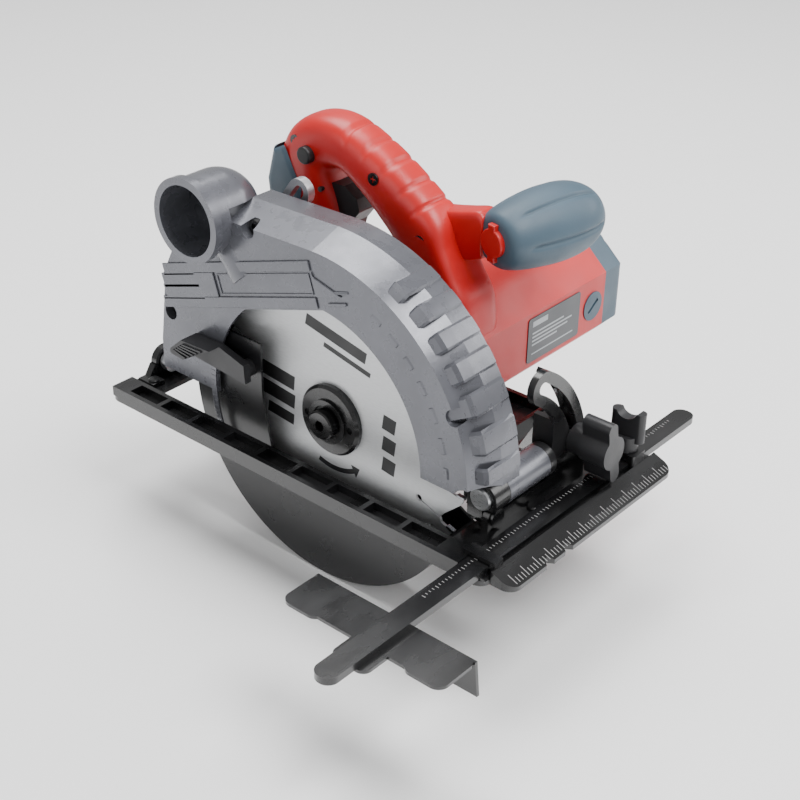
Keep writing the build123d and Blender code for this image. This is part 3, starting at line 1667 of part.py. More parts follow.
with BuildPart() as housing_screws:
    with BuildSketch(side(handle_right_y + 3)):
        with Locations(*screw_spots):
            Circle(head_radius)
    extrude(amount=2)
    with BuildSketch(side(handle_left_y - 4)):
        with Locations(*screw_spots):
            Circle(shank_radius)
    extrude(amount=handle_left_y - handle_right_y - 7)
    with BuildSketch(side(handle_right_y + 1)):
        with Locations(*screw_spots):
            Rectangle(4, 1)
            Rectangle(1, 4)
    extrude(amount=-1, mode=Mode.SUBTRACT)
    for end_y, length, radius in ((cap_seat_y + 2.5, 2.5, 3.4), (cap_seat_y, cap_seat_y - 158, 1.7)):
        with BuildSketch(side(end_y)):
            with Locations((motor_x, motor_z)):
                with PolarLocations(cap_screw_orbit, 4, start_angle=45):
                    Circle(radius)
        extrude(amount=length)
finish(housing_screws.part, "housing_screws")

grip_skin = 1.2
with BuildSketch() as grip_outline:
    with BuildLine():
        Polyline((-79, 152), (-88, 147), (-93, 128), (-90, 104), (-72, 96), (-66, 128), close=True)
    make_face()
with BuildPart() as rear_grip:
    with BuildSketch(side(handle_left_y + grip_skin)):
        offset(grip_outline.sketch, grip_skin)
    extrude(amount=2 * (handle_half + grip_skin))
    fillet(rear_grip.faces().filter_by(Axis.Y).edges(), 5)
    with BuildSketch(side(handle_left_y)):
        add(handle_section.sketch)
    extrude(amount=2 * handle_half, mode=Mode.SUBTRACT)
finish(rear_grip.part, "rear_grip")

trigger_left_y = handle_split_y + trigger_width / 2
with BuildPart() as trigger:
    with BuildSketch(side(trigger_left_y)) as trigger_outline:
        with BuildLine():
            Polyline(
                (-57.5, 133.5),
                (-42, 134.5),
                (-33, 129),
                (-31, 122),
                (-38, 113),
                (-41, 104.6),
                (-53, 104.6),
                (-53, 124),
                (-57.5, 127),
                close=True,
            )
        make_face()
        fillet(trigger_outline.vertices().group_by(Axis.X)[-1], 2)
    extrude(amount=trigger_width)
    with BuildSketch(side(handle_left_y - handle_wall + 1.1)):
        with Locations(trigger_pivot):
            Circle(1.5)
    extrude(amount=2 * (handle_half - handle_wall + 1.1))
finish(trigger.part, "trigger")

with BuildPart() as switch_module:
    with Locations((-69, handle_split_y, 117)):
        Box(14, 16, 22)
    with BuildSketch(front(-62)):
        with Locations((handle_split_y, 110)):
            Rectangle(8, 6)
    extrude(amount=5)
    with Locations((-69, handle_split_y - 4, 105), (-69, handle_split_y + 4, 105)):
        Cylinder(1.6, 5)
finish(switch_module.part, "switch_module")

with BuildPart() as lock_off_button:
    with BuildSketch(side(handle_right_y + 5)):
        with Locations((lock_x, lock_z)):
            Circle(lock_radius)
    extrude(amount=8.5)
    fillet(lock_off_button.faces().sort_by(Axis.Y)[0].edges(), 1.2)
    with BuildSketch(side(handle_right_y + 5)):
        with Locations((lock_x, lock_z)):
            Circle(lock_radius + 1.4)
    extrude(amount=1.4)
finish(lock_off_button.part, "lock_off_button")

with BuildPart() as cable_gland:
    with BuildSketch(front(gland_tip_x)):
        with Locations((handle_split_y, gland_z)):
            Circle(gland_radius - 0.8)
    extrude(amount=26)
    with BuildSketch(front(-90)):
        with Locations((handle_split_y, gland_z)):
            Circle(gland_radius)
    extrude(amount=12)
    with BuildSketch(front(-84)):
        with Locations((handle_split_y, gland_z)):
            Circle(gland_radius + 2)
    extrude(amount=2)
    for k in range(4):
        with BuildSketch(front(gland_tip_x + 2 + 3 * k)):
            with Locations((handle_split_y, gland_z)):
                Circle(gland_radius)
                Circle(gland_radius - 1.8, mode=Mode.SUBTRACT)
        extrude(amount=1.2, mode=Mode.SUBTRACT)
    with BuildSketch(front(gland_tip_x)):
        with Locations((handle_split_y, gland_z)):
            Circle(3.6)
    extrude(amount=26, mode=Mode.SUBTRACT)
finish(cable_gland.part, "cable_gland")

# ---------------------------------------------------------------- screws and spindle lock
with BuildPart() as guard_screws:
    for end_y, length, radius in ((screw_seat_y, 3.0, 4.0), (screw_seat_y + 20, 20.0, 2.0)):
        with BuildSketch(side(end_y)):
            with Locations(*guard_screw_spots):
                Circle(radius)
        extrude(amount=length)
    with BuildSketch(side(screw_seat_y - 3)):
        with Locations(*guard_screw_spots):
            RegularPolygon(2.2, 6)
    extrude(amount=-1.8, mode=Mode.SUBTRACT)
finish(guard_screws.part, "guard_screws")

with BuildPart() as spindle_lock_button:
    with BuildSketch(side(case_end_y + 6)):
        with Locations(lock_pin_spot):
            Circle(lock_radius)
    extrude(amount=6)
    fillet(spindle_lock_button.faces().sort_by(Axis.Y)[-1].edges(), 1.2)
    with BuildSketch(side(case_end_y)):
        with Locations(lock_pin_spot):
            Circle(lock_pin_radius)
    extrude(amount=case_end_y - lock_pin_tip_y)
finish(spindle_lock_button.part, "spindle_lock_button")
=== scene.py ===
"""A hand-held circular saw: finishes, trim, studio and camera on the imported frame.

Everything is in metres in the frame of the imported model: +X is the cutting direction,
+Y points to the motor and +Z is up, with the origin on the sole under the spindle.
"""

import math

import bmesh
import bpy
import numpy as np
from mathutils import Matrix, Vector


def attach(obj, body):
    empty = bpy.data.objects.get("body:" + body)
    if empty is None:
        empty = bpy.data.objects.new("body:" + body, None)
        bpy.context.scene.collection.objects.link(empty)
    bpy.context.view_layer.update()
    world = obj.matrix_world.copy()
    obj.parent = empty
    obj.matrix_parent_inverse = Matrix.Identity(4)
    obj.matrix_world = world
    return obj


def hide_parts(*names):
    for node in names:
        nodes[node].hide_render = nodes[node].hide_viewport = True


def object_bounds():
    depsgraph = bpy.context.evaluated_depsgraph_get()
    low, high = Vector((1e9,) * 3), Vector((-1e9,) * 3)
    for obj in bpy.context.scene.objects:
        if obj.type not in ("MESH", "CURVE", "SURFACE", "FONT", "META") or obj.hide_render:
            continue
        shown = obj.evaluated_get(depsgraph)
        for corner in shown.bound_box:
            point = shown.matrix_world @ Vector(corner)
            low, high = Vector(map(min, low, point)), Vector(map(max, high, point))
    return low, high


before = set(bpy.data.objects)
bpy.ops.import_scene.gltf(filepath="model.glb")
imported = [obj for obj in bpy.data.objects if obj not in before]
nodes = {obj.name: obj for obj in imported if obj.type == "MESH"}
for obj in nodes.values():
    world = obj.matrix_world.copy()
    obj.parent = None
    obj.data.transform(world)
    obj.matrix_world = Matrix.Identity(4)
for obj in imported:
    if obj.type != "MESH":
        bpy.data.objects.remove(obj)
cad_box = [list(map(float, corner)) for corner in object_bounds()]

MM = 0.001
SPINDLE_Z = 0.0275


# ---------------------------------------------------------------- material tools
class Recipe:
    """A node material that is built step by step around one Principled shader."""

    def __init__(self, name, color, roughness, metallic=0.0):
        self.material = bpy.data.materials.new(name)
        self.material.use_nodes = True
        self.tree = self.material.node_tree
        self.shader = self.tree.nodes["Principled BSDF"]
        self.color = color
        self.roughness = roughness
        self.shader.inputs["Base Color"].default_value = (*color, 1.0)
        self.shader.inputs["Roughness"].default_value = roughness
        self.shader.inputs["Metallic"].default_value = metallic
        self.place = self.tree.nodes.new("ShaderNodeTexCoord").outputs["Object"]

    def node(self, kind):
        return self.tree.nodes.new(kind)

    def join(self, source, target):
        self.tree.links.new(source, target)

    def stretched(self, scale):
        """Object coordinates times a scale for each axis."""
        mapping = self.node("ShaderNodeMapping")
        mapping.inputs["Scale"].default_value = scale
        self.join(self.place, mapping.inputs["Vector"])
        return mapping.outputs["Vector"]

    def noise(self, scale, detail=4.0, vector=None):
        made = self.node("ShaderNodeTexNoise")
        made.inputs["Scale"].default_value = scale
        made.inputs["Detail"].default_value = detail
        self.join(vector or self.place, made.inputs["Vector"])
        return made.outputs["Fac"]

    def ranged(self, value, low, high, start=0.3, end=0.7):
        made = self.node("ShaderNodeMapRange")
        made.inputs["From Min"].default_value = start
        made.inputs["From Max"].default_value = end
        made.inputs["To Min"].default_value = low
        made.inputs["To Max"].default_value = high
        self.join(value, made.inputs["Value"])
        return made.outputs["Result"]

    def tint(self, value, low, high, start=0.3, end=0.7):
        """Base colour between two multiples of the plain colour, along a value."""
        ramp = self.node("ShaderNodeValToRGB")
        ramp.color_ramp.elements[0].position = start
        ramp.color_ramp.elements[1].position = end
        ramp.color_ramp.elements[0].color = (*[c * low for c in self.color], 1.0)
        ramp.color_ramp.elements[1].color = (*[min(c * high, 1.0) for c in self.color], 1.0)
        self.join(value, ramp.inputs["Fac"])
        self.join(ramp.outputs["Color"], self.shader.inputs["Base Color"])

    def polish(self, value, low, high):
        self.join(self.ranged(value, low, high), self.shader.inputs["Roughness"])

    def relief(self, value, depth, strength=1.0):
        bump = self.node("ShaderNodeBump")
        bump.inputs["Distance"].default_value = depth
        bump.inputs["Strength"].default_value = strength
        self.join(value, bump.inputs["Height"])
        self.join(bump.outputs["Normal"], self.shader.inputs["Normal"])

    def gloss(self, coat=0.0, coat_rough=0.1, anisotropic=0.0):
        self.shader.inputs["Coat Weight"].default_value = coat
        self.shader.inputs["Coat Roughness"].default_value = coat_rough
        self.shader.inputs["Anisotropic"].default_value = anisotropic


def moulded(name, color, roughness, grain=900.0, depth=0.00006, coat=0.0):
    """Moulded plastic: fine grain, cloudy gloss and a slight colour drift."""
    made = Recipe(name, color, roughness)
    cloud = made.noise(28.0, 3.0)
    made.tint(cloud, 0.9, 1.08)
    made.polish(made.noise(60.0, 5.0), roughness * 0.82, roughness * 1.18)
    made.relief(made.noise(grain, 3.0), depth, 0.5)
    made.gloss(coat=coat, coat_rough=0.25)
    return made.material


def cast(name, color, roughness, metallic, coat=0.15):
    """Painted or bare casting: soft ripples, cloudy metallic tone and fine pits."""
    made = Recipe(name, color, roughness, metallic)
    made.tint(made.noise(22.0, 6.0), 0.86, 1.14)
    made.polish(made.noise(120.0, 6.0), roughness * 0.75, roughness * 1.2)
    made.relief(made.noise(320.0, 5.0), 0.00012, 0.45)
    made.gloss(coat=coat, coat_rough=0.18)
    return made.material


def enamel(name, color, roughness, coat=0.4):
    """Black baked enamel on sheet steel: orange peel and scuffs in tone and gloss."""
    made = Recipe(name, color, roughness, 0.0)
    scuffs = made.noise(45.0, 9.0, made.stretched((1.0, 0.35, 1.0)))
    made.tint(scuffs, 0.75, 2.4, 0.45, 0.8)
    made.polish(scuffs, roughness * 0.8, roughness * 1.6)
    made.relief(made.noise(420.0, 2.0), 0.00005, 0.6)
    made.gloss(coat=coat, coat_rough=0.12)
    return made.material


def machined(name, color, roughness, stretch=(1.0, 14.0, 14.0), scale=260.0, metallic=1.0):
    """Turned or brushed steel: fine lines along one way."""
    made = Recipe(name, color, roughness, metallic)
    lines = made.noise(scale, 6.0, made.stretched(stretch))
    made.tint(lines, 0.88, 1.06)
    made.polish(lines, roughness * 0.8, roughness * 1.35)
    made.relief(lines, 0.00003, 0.5)
    made.gloss(anisotropic=0.4)
    return made.material


FINISH = {
    "guard": cast("silver_grey_guard", (0.118, 0.121, 0.138), 0.3, 0.45, 0.35),
    "case": cast("bare_gear_case", (0.55, 0.56, 0.58), 0.42, 0.9, 0.0),
    "red": moulded("red_housing", (0.50, 0.006, 0.006), 0.4, coat=0.08),
    "slate": moulded("slate_soft_grip", (0.055, 0.092, 0.125), 0.5, 700.0, 0.0001),
    "slate_cap": moulded("slate_end_cap", (0.055, 0.092, 0.125), 0.42),
    "black": moulded("black_plastic", (0.008, 0.008, 0.009), 0.45),
    "lever": moulded("charcoal_lever", (0.018, 0.018, 0.02), 0.42),
    "enamel": enamel("black_enamel", (0.006, 0.006, 0.0065), 0.22),
    "lower": moulded("charcoal_guard", (0.006, 0.006, 0.007), 0.3, 500.0, 0.00003, coat=0.2),
    "blade": machined("brushed_blade", (0.62, 0.63, 0.64), 0.42, (1.0, 1.0, 9.0), 300.0, 0.55),
    "carbide": machined("ground_carbide", (0.42, 0.43, 0.45), 0.28),
    "steel": machined("turned_steel", (0.55, 0.56, 0.57), 0.3),
    "zinc": machined("zinc_plate", (0.5, 0.51, 0.53), 0.38, (6.0, 1.0, 6.0), 180.0),
    "copper": moulded("enamelled_copper", (0.55, 0.2, 0.08), 0.3, 1200.0, 0.0002),
    "label": moulded("charcoal_label", (0.05, 0.054, 0.06), 0.35, 1400.0, 0.00002, 0.1),
    "brass": machined("plain_brass", (0.7, 0.5, 0.2), 0.3),
}
WEARS = {
    "blade": "blade",
    "carbide_tips": "carbide",
    "inner_flange": "steel",
    "outer_flange": "enamel",
    "blade_bolt": "enamel",
    "spindle": "steel",
    "output_gear": "steel",
    "spindle_bearings": "steel",
    "armature_bearings": "steel",
    "gear_case": "case",
    "hub_retaining_ring": "zinc",
    "armature_shaft": "steel",
    "armature_core": "steel",
    "armature_windings": "copper",
    "commutator": "copper",
    "cooling_fan": "black",
    "field_core": "steel",
    "field_coils": "copper",
    "carbon_brushes": "black",
    "brush_holders": "brass",
    "brush_springs": "zinc",
    "brush_caps": "slate",
    "motor_housing": "red",
    "motor_end_cap": "slate_cap",
    "air_baffle": "black",
    "rating_plate": "label",
    "upper_guard": "guard",
    "base_plate": "enamel",
    "base_rivets": "enamel",
    "bevel_quadrant": "enamel",
    "rear_pivot_bracket": "enamel",
    "bevel_pivot_pins": "enamel",
    "tilt_bracket": "enamel",
    "depth_hinge_pin": "steel",
    "bevel_stud": "zinc",
    "bevel_knob": "lever",
    "depth_arc": "zinc",
    "depth_bolt": "zinc",
    "depth_lever": "black",
    "guide_bar": "enamel",
    "fence_plate": "enamel",
    "fence_rivets": "enamel",
    "bar_clamp_block": "enamel",
    "bar_clamp_knob": "lever",
    "lower_guard": "lower",
    "guard_lever": "lever",
    "guard_return_spring": "zinc",
    "dust_port": "guard",
    "handle_right": "red",
    "handle_left": "red",
    "housing_screws": "enamel",
    "rear_grip": "slate",
    "trigger": "black",
    "switch_module": "black",
    "lock_off_button": "black",
    "cable_gland": "black",
    "front_knob": "slate",
    "front_knob_cap": "red",
    "guard_screws": "enamel",
    "spindle_lock_button": "black",
}
for node_name, finish_name in WEARS.items():
    for slot in nodes[node_name].material_slots:
        slot.material = FINISH[finish_name]


# ---------------------------------------------------------------- surface tools
def piece(name, points, faces, body, finish, smooth=True):
    """A mesh from arrays of points in metres and faces, riding on one body."""
    mesh = bpy.data.meshes.new(name)
    mesh.from_pydata(np.asarray(points, dtype=float).tolist(), [], faces)
    mesh.update()
    made = bpy.data.objects.new(name, mesh)
    bpy.context.scene.collection.objects.link(made)
    if smooth:
        mesh.polygons.foreach_set("use_smooth", np.ones(len(mesh.polygons), dtype=bool))
    made.data.materials.append(finish)
    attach(made, body)
    return made


def grid_faces(rows, columns, around=False, offset=0):
    """Quads of a grid of points stored row by row; around closes each row on itself."""
    row = np.arange(rows - 1)[:, None] * columns
    last = columns if around else columns - 1
    step = np.arange(last)[None, :]
    beside = (step + 1) % columns
    quads = np.stack((row + step, row + beside, row + columns + beside, row + columns + step), axis=-1)
    return (quads.reshape(-1, 4) + offset).tolist()


def tube_faces(rows, columns):
    """Quads of a grid closed round each row, with one flat face at each end."""
    first = list(range(columns))[::-1]
    last = list(range((rows - 1) * columns, rows * columns))
    return grid_faces(rows, columns, around=True) + [first, last]


def flowing(stations, count):
    """Points on a Catmull-Rom curve through stations: each span is the cubic whose slopes
    at both ends are half the chord between the neighbours."""
    knots = np.asarray(stations, dtype=float)
    padded = np.vstack((2 * knots[0] - knots[1], knots, 2 * knots[-1] - knots[-2]))
    t = np.linspace(0, len(knots) - 1, count)
    k = np.minimum(t.astype(int), len(knots) - 2)
    u = (t - k)[:, None]
    a, b, c, d = padded[k], padded[k + 1], padded[k + 2], padded[k + 3]
    square = (2 * a - 5 * b + 4 * c - d) * u**2
    cube = (3 * b - a - 3 * c + d) * u**3
    return 0.5 * (2 * b + (c - a) * u + square + cube)


def power_wave(angle, wave, power):
    """Cosine or sine whose size is raised to 2 / power: the two ways of a superellipse."""
    value = wave(angle)
    return np.sign(value) * np.abs(value) ** (2 / power)


# ---------------------------------------------------------------- handle
HANDLE_MIDDLE_Y = 62 * MM
COLUMN_POWER = 5
GRIP_POWER = 2.8
GROOVE_DEPTH = 1.8 * MM
GROOVE_STEP = 0.55  # in stations
FIRST_GROOVE = 5.5
HANDLE_STATIONS = (
    # outer x, z, inner x, z and half-width, in millimetres
    (53, 66, 4, 70, 16.0),
    (52, 80, 12, 84, 16.0),
    (49, 94, 16, 93, 16.0),
    (41, 106, 15, 98.5, 16.0),
    (33, 120, 8, 104, 15.5),
    (26, 134, -2, 111.5, 15.0),
    (8, 148, -14, 122, 14.5),
    (-18, 162.5, -27, 133.5, 14.5),
    (-44, 171.5, -39, 142, 15.0),
    (-64, 170.5, -50, 143, 15.5),
    (-79, 161.5, -53, 140, 15.8),
    (-88, 147, -51, 134, 15.8),
    (-92.5, 129, -46.5, 124, 15.5),
    (-91, 106, -41, 106, 15.0),
    (-88, 84, -35, 91, 15.5),
    (-84, 60, -24, 60, 16.0),
)


def handle_body():
    """A closed tube round the D: each section is a superellipse whose first axis joins the
    inner outline to the outer one and whose second axis is half the width. The power falls
    from 5 in the column to 2.8 over the grip, and five finger grooves cross the top as
    narrow cosine dips, 1.8 mm deep."""
    stations = np.array(HANDLE_STATIONS) * MM
    rows, columns = 300, 64
    path = flowing(stations, rows)
    outer, inner, half = path[:, 0:2], path[:, 2:4], path[:, 4]
    middle, reach = (outer + inner) / 2, (outer - inner) / 2
    turn = np.linspace(0, 2 * np.pi, columns, endpoint=False)
    t = np.linspace(0, len(stations) - 1, rows)
    power = np.interp(t, (3.5, 5.5), (COLUMN_POWER, GRIP_POWER))[:, None]
    along = power_wave(turn[None, :], np.cos, power)
    across = power_wave(turn[None, :], np.sin, power)
    wave = np.cos((t - FIRST_GROOVE) * 2 * np.pi / GROOVE_STEP)
    groove = np.clip(wave, 0, 1) ** 5 * ((t > 5.3) & (t < 7.9))
    top = np.clip(np.cos(turn) + 0.35, 0, 1) ** 0.5
    lift = 1 - (GROOVE_DEPTH * groove / np.linalg.norm(reach, axis=1))[:, None] * top[None, :]
    x = middle[:, 0:1] + reach[:, 0:1] * along * lift
    z = middle[:, 1:2] + reach[:, 1:2] * along * lift
    y = HANDLE_MIDDLE_Y + half[:, None] * across + 0 * x
    points = np.stack((x, y, z), axis=-1).reshape(-1, 3)
    made = piece("handle_body", points, tube_faces(rows, columns), "saw_body", FINISH["red"])
    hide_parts("handle_right", "handle_left")


def knob_arm():
    """The short arm from the handle's column to the knob: sections from back to front are
    superellipses of power 6 in Y and Z, and the last one ends inside the knob."""
    # x, middle z and half-height of each section, in millimetres
    stations = np.array(
        ((14, 123, 12), (24, 123, 14), (34, 125, 14.5), (44, 128, 14), (48, 128, 12))
    ) * MM
    middle_y, half_width = 68.5 * MM, 7.5 * MM
    rows, columns = 30, 64
    path = flowing(stations, rows)
    turn = np.linspace(0, 2 * np.pi, columns, endpoint=False)
    x = path[:, 0:1] + 0 * turn[None, :]
    y = middle_y + half_width * power_wave(turn, np.cos, 6)[None, :] + 0 * x
    z = path[:, 1:2] + path[:, 2:3] * power_wave(turn, np.sin, 6)[None, :]
    points = np.stack((x, y, z), axis=-1).reshape(-1, 3)
    made = piece("knob_arm", points, tube_faces(rows, columns), "saw_body", FINISH["red"])


def front_grip():
    """The front knob: a barrel along its axis whose radius follows a smooth profile, a little
    flatter from top to bottom, with six grooves cut as narrow cosine dips."""
    start, end = np.array((57, 61, 129)) * MM, np.array((70, 132, 130)) * MM
    axis = (end - start) / np.linalg.norm(end - start)
    aside = np.cross(axis, (0, 0, 1))
    aside /= np.linalg.norm(aside)
    over = np.cross(aside, axis)
    rows, columns = 90, 144
    grooves, groove_depth, flatness = 6, 1.7 * MM, 0.94
    # distance along the axis and radius, in millimetres
    profile = flowing(
        (
            (0, 8), (0.3, 12.5), (2, 15.6), (6, 17.6), (14, 19.6), (24, 21.2), (36, 22.2),
            (48, 21.8), (58, 19.6), (66, 15), (70.5, 9), (72, 4), (72.3, 0.4),
        ),
        rows,
    ) * MM
    turn = np.linspace(0, 2 * np.pi, columns, endpoint=False)
    dip = np.clip(np.cos(turn * grooves), 0, 1) ** 14
    fade = 6 * MM
    begun = np.clip((profile[:, 0] - 8 * MM) / fade, 0, 1)
    left = np.clip((66 * MM - profile[:, 0]) / fade, 0, 1)
    radius = profile[:, 1:2] - groove_depth * (begun * left)[:, None] * dip[None, :]
    points = (
        start
        + profile[:, 0, None, None] * axis
        + radius[..., None] * np.cos(turn)[None, :, None] * aside
        + flatness * radius[..., None] * np.sin(turn)[None, :, None] * over
    ).reshape(-1, 3)
    made = piece("front_grip", points, tube_faces(rows, columns), "saw_body", FINISH["slate"])
    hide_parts("front_knob")


# ---------------------------------------------------------------- flat trim
SUNK = 0.1 * MM


def strips(name, bars, depth, body, finish, face):
    """Many small bars in one mesh. Each bar is a closed outline in a plane; face(u, w, h)
    gives the place of a corner at height h above the surface, and depth is the bar's height.
    The bars reach 0.1 mm into the surface."""
    points, faces = [], []
    for bar in bars:
        first = len(points)
        for height in (-SUNK, depth):
            points += [face(u, w, height) for u, w in bar]
        count = len(bar)
        faces.append([first + k for k in range(count)][::-1])
        faces.append([first + count + k for k in range(count)])
        faces += [
            [first + k, first + (k + 1) % count, first + count + (k + 1) % count, first + count + k]
            for k in range(count)
        ]
    made = piece(name, points, faces, body, finish, smooth=False)
    shape = bmesh.new()
    shape.from_mesh(made.data)
    bmesh.ops.recalc_face_normals(shape, faces=shape.faces)
    shape.to_mesh(made.data)
    shape.free()
    return made


def slab(u0, u1, w0, w1):
    """Corners of a rectangle between two stations each way."""
    return [(u0, w0), (u1, w0), (u1, w1), (u0, w1)]


def turned(u, w, length, width, angle=0.0):
    """Corners of a bar centred at (u, w), turned by an angle in degrees."""
    c, s = math.cos(math.radians(angle)), math.sin(math.radians(angle))
    corners = slab(-width / 2, width / 2, -length / 2, length / 2)
    return [(u + a * c - b * s, w + a * s + b * c) for a, b in corners]


def sector(inner, outer, start, stop, count):
    """Outline of a piece of a ring between two angles in degrees, with count rim points."""
    angles = np.radians(np.linspace(start, stop, count))
    rim = [(outer * math.cos(a), outer * math.sin(a)) for a in angles]
    return rim + [(inner * math.cos(a), inner * math.sin(a)) for a in angles[::-1]]


def scales():
    """Ruler marks every 2.5 mm, longer every 10 mm, on the guide bar and on the sole's
    sloping front lip."""
    # The marks are real, engraved in the black enamel; their light grey is painted highlight standing
    # in for the light their edges catch.
    ink = moulded("scale_marks_edge_highlight", (0.30, 0.30, 0.30), 0.4)
    bar_edge_x, bar_top, mark_step, mark_depth = 121.4, 9, 2.5, 0.08 * MM
    bar_marks = []
    for k in range(88):
        length = 2.2 if k % 4 == 0 else 1.4
        bar_marks.append(turned(bar_edge_x + length / 2, -70 + mark_step * k, 0.35, length))
    strips(
        "bar_scale",
        bar_marks,
        mark_depth,
        "fence",
        ink,
        lambda u, w, h: (u * MM, w * MM, bar_top * MM + h),
    )
    lip_x, front_x, lip_low, lip_high = 133.5, 147, 2.6, 8
    slope = math.atan2(lip_high - lip_low, front_x - lip_x)
    lip_marks = []
    for k in range(56):
        length = 6.0 if k % 4 == 0 else 3.4
        lip_marks.append(turned(front_x - 1.5 - length / 2, -26 + mark_step * k, 0.4, length))

    def on_lip(u, w, h):
        rise = lip_low + (front_x - u) * math.tan(slope)
        return (u * MM + h * math.sin(slope), w * MM, rise * MM + h * math.cos(slope))

    strips("lip_scale", lip_marks, mark_depth, "base", ink, on_lip)


def blade_print():
    """Print on the blade's right face: three dark plates behind the flange, two bars above
    it, three squares in front of it, and a turning arrow made of a ring piece and a head."""
    ink = moulded("blade_ink", (0.015, 0.015, 0.016), 0.45)
    face_y = -0.8 * MM
    head_radius = 33.5
    head = [
        (head_radius * math.cos(math.radians(a)) * k, head_radius * math.sin(math.radians(a)) * k)
        for a, k in ((-62, 1.06), (-62, 0.82), (-52, 0.94))
    ]
    plates = [
        turned(-44, 12, 9, 30, -6),
        turned(-42, 0, 9, 26, -6),
        turned(-40, -12, 7, 20, -6),
        sector(30, 33, -110, -62, 18),
        head,
        turned(2, 50, 7, 44, -12),
        turned(10, 40, 3, 34, -12),
    ]
    plates += [turned(40, 12 - 13 * k, 9, 9, -8) for k in range(3)]
    strips(
        "blade_print",
        plates,
        0.03 * MM,
        "blade_group",
        ink,
        lambda u, w, h: (u * MM, face_y - h, SPINDLE_Z + w * MM),
    )


def label_print():
    """Light bars of several lengths on the rating label, standing for its lines of print."""
    ink = moulded("label_ink", (0.42, 0.44, 0.46), 0.45)
    corners = np.array([tuple(corner) for corner in nodes["rating_plate"].bound_box])
    low, high = corners.min(axis=0), corners.max(axis=0)
    near, middle = low[1] + 4 * MM, (low[2] + high[2]) / 2
    # length, place above the middle and height of each bar, in millimetres
    lines = (
        (14, 8.0, 3.4),
        (30, 3.4, 1.0),
        (38, 1.0, 1.0),
        (34, -1.4, 1.0),
        (24, -3.8, 1.0),
        (40, -9.4, 0.8),
    )
    bars = [
        slab(near, near + length * MM, middle + w * MM, middle + (w + tall) * MM)
        for length, w, tall in lines
    ]
    strips(
        "label_print",
        bars,
        0.05 * MM,
        "saw_body",
        ink,
        lambda u, w, h: (high[0] + h, u, w),
    )


NOSE_UP = math.radians(18.3)
GUARD_FACE_Y = -16
CROWN_RADIUS = 92.0
CROWN_FALL = 0.35


def guard_place(u, w, h):
    """Place on the guard's right side: u and w run along and across its nose-up axis, and in
    front of the spindle the face falls back by 0.35 mm for each mm past the crown's radius."""
    x = u * math.cos(NOSE_UP) - w * math.sin(NOSE_UP)
    z = u * math.sin(NOSE_UP) + w * math.cos(NOSE_UP)
    drop = max(0.0, math.hypot(x, z) - CROWN_RADIUS) * CROWN_FALL if x > 0 else 0.0
    return (x * MM, (GUARD_FACE_Y + drop) * MM - h, SPINDLE_Z + z * MM)


def relief(name, bars, depth, rounding):
    """Raised bars on the guard's side, their edges rounded by a bevel of three segments."""
    made = strips(name, bars, depth, "saw_body", FINISH["guard"], guard_place)
    bevel = made.modifiers.new("soft_edges", "BEVEL")
    bevel.width = rounding
    bevel.segments = 3
    bevel.limit_method = "ANGLE"
    bevel.harden_normals = False


def guard_trim():
    """The raised band round the blank name panel and the panel's rim, the ribs at both ends
    of it, and the lip that runs round the window's lower front edge."""
    band = [
        slab(-90, 29, 89.3, 95),
        slab(-97, 28, 69, 75.2),
        slab(-93, -48.3, 75.2, 89.3),
        [(29.2, 75.2), (47, 75.2), (30, 86), (29.2, 89.3)],
    ]
    ribs = [
        slab(-91, -64, 87.6, 90),
        slab(-94, -62, 80.6, 83),
        slab(-97, -60, 73.6, 76),
        slab(38, 52, 76.6, 78.4),
        slab(36, 49, 70.4, 72.2),
    ]
    rim = [
        slab(-46, 27, 76.4, 77.2),
        slab(-46, 27, 87.4, 88.2),
        slab(-46, -45.2, 77.2, 87.4),
        slab(26.2, 27, 77.2, 87.4),
    ]
    lip_start, lip_step = 146, 2.4
    lip = []
    for k in range(20):
        low, high = (math.radians(lip_start + lip_step * (k + side)) for side in (0, 1))
        corners = ((75, low), (79, low), (79, high), (75, high))
        lip.append([(r * math.cos(a), r * math.sin(a)) for r, a in corners])
    relief("guard_band", band, 1.0 * MM, 0.4 * MM)
    relief("guard_ribs", ribs, 1.0 * MM, 0.5 * MM)
    relief("panel_rim", rim, 0.6 * MM, 0.2 * MM)
    relief("window_lip", lip, 1.2 * MM, 0.3 * MM)


def crown_pads():
    """Stepped pads down the front of the crown: each is a grid over an arc and the outline of
    the guard's section. The outline is pushed out from its core, and its first and last rows
    are sunk under the guard's skin, so that each pad ends in a step."""
    # radius and y of the outline, in millimetres
    section = np.array(
        (
            (90.5, -16.4),
            (92.5, -16.3),
            (101, -13.2),
            (110.6, -9.9),
            (113.0, -8.4),
            (113.2, 0),
            (113.2, 9),
            (113.0, 17.2),
            (110.5, 17.6),
        )
    )
    # first angle and sweep of each pad, in degrees
    pads = ((59, 5.5), (50.5, 5.5), (42, 5.5), (33, 6.0), (23.5, 6.5), (13, 7.0), (4.5, 5.0))
    core = np.array((98.0, 2.0))
    away = (section - core) / np.linalg.norm(section - core, axis=1)[:, None]
    rows, sunk, proud = 9, 1.4, 0.14
    offset = np.full(rows, proud)
    offset[[0, -1]] = -sunk
    ring = section[None] + offset[:, None, None] * away[None]
    points, faces = [], []
    for start, sweep in pads:
        angle = np.radians(np.linspace(start, start + sweep, rows))[:, None]
        x = ring[..., 0] * np.cos(angle) * MM
        z = SPINDLE_Z + ring[..., 0] * np.sin(angle) * MM
        grid = np.stack((x, ring[..., 1] * MM, z), axis=-1)
        faces += grid_faces(rows, len(section), offset=len(points))
        points += grid.reshape(-1, 3).tolist()
    made = piece("crown_pads", points, faces, "saw_body", FINISH["guard"], smooth=False)


handle_body()
knob_arm()
front_grip()
scales()
blade_print()
label_print()
guard_trim()
crown_pads()


# ---------------------------------------------------------------- studio and camera
AIM = (0.0, 0.0, 0.06)


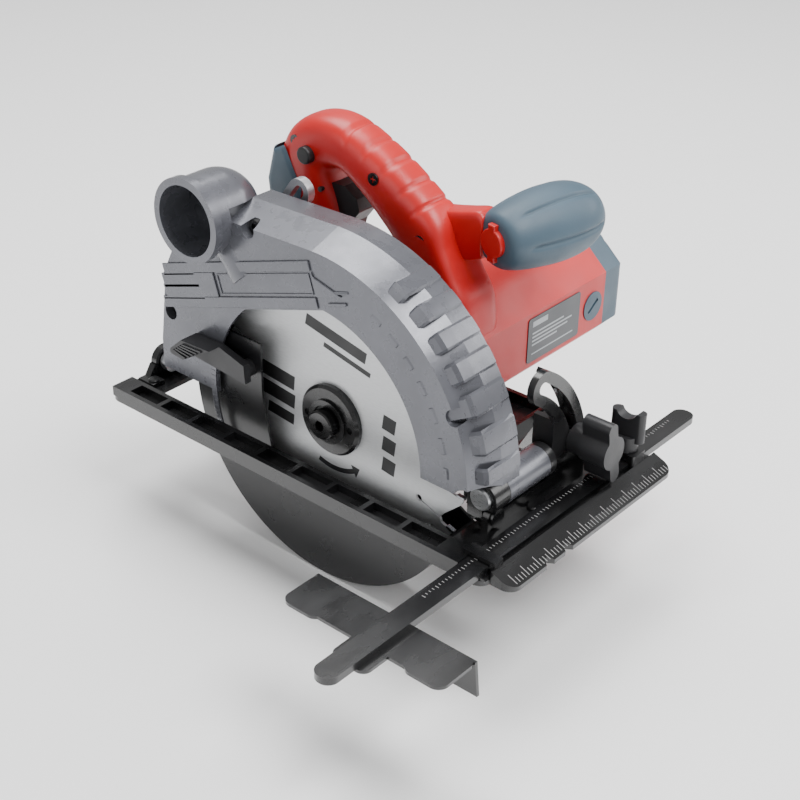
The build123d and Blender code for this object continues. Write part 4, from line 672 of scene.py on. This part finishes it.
def studio():
    """A pale floor just under the lower guard and large soft lights."""
    floor_z = cad_box[0][2] - 0.0005
    reach = 6
    mesh = bpy.data.meshes.new("studio_floor")
    corners = [(x, y, floor_z) for x, y in slab(-reach, reach, -reach, reach)]
    mesh.from_pydata(corners, [], [(0, 1, 2, 3)])
    floor = bpy.data.objects.new("studio_floor", mesh)
    bpy.context.scene.collection.objects.link(floor)
    pale = Recipe("pale_floor", (0.95, 0.95, 0.95), 0.75)
    pale.tint(pale.noise(3.0, 2.0), 0.99, 1.0)
    floor.data.materials.append(pale.material)
    for name, place, size, power in (
        ("key_light", (0.75, 0.15, 1.4), 0.8, 24.0),
        ("top_light", (-0.5, 0.3, 1.5), 1.0, 29.0),
        ("front_light", (-0.3, -1.5, 0.55), 1.0, 5.5),
        ("rim_light", (0.9, 1.3, 0.8), 0.8, 10.0),
    ):
        lamp = bpy.data.lights.new(name, "AREA")
        lamp.energy = power
        lamp.size = size
        holder = bpy.data.objects.new(name, lamp)
        holder.location = place
        aim = np.array(AIM) - np.array(place)
        yaw = math.atan2(aim[1], aim[0]) - math.pi / 2
        tilt = math.pi / 2 + math.atan2(aim[2], math.hypot(aim[0], aim[1]))
        holder.rotation_euler = (tilt, 0.0, yaw)
        bpy.context.scene.collection.objects.link(holder)
    world = bpy.data.worlds.new("studio_world")
    world.use_nodes = True
    backdrop = world.node_tree.nodes["Background"]
    backdrop.inputs["Color"].default_value = (1.0, 1.0, 1.0, 1.0)
    backdrop.inputs["Strength"].default_value = 0.52
    bpy.context.scene.world = world


def camera():
    """A long lens in front of the nose, right of the blade and above it."""
    azimuth, elevation, roll = (math.radians(a) for a in (40.14, 30.33, 1.04))
    back = np.array(
        (
            math.sin(azimuth) * math.cos(elevation),
            -math.cos(azimuth) * math.cos(elevation),
            math.sin(elevation),
        )
    )
    level = np.array((math.cos(azimuth), math.sin(azimuth), 0.0))
    rise = np.cross(back, level)
    right = level * math.cos(roll) + rise * math.sin(roll)
    up = -level * math.sin(roll) + rise * math.cos(roll)
    lens = bpy.data.cameras.new("studio_lens")
    lens.lens = 68.5
    lens.sensor_width = 36.0
    lens.clip_start = 0.01
    eye = bpy.data.objects.new("studio_camera", lens)
    turn = Matrix(np.array((right, up, back)).T.tolist()).to_4x4()
    turn.translation = (0.4851, -0.5201, 0.4551)
    eye.matrix_world = turn
    bpy.context.scene.collection.objects.link(eye)
    bpy.context.scene.camera = eye


studio()
camera()
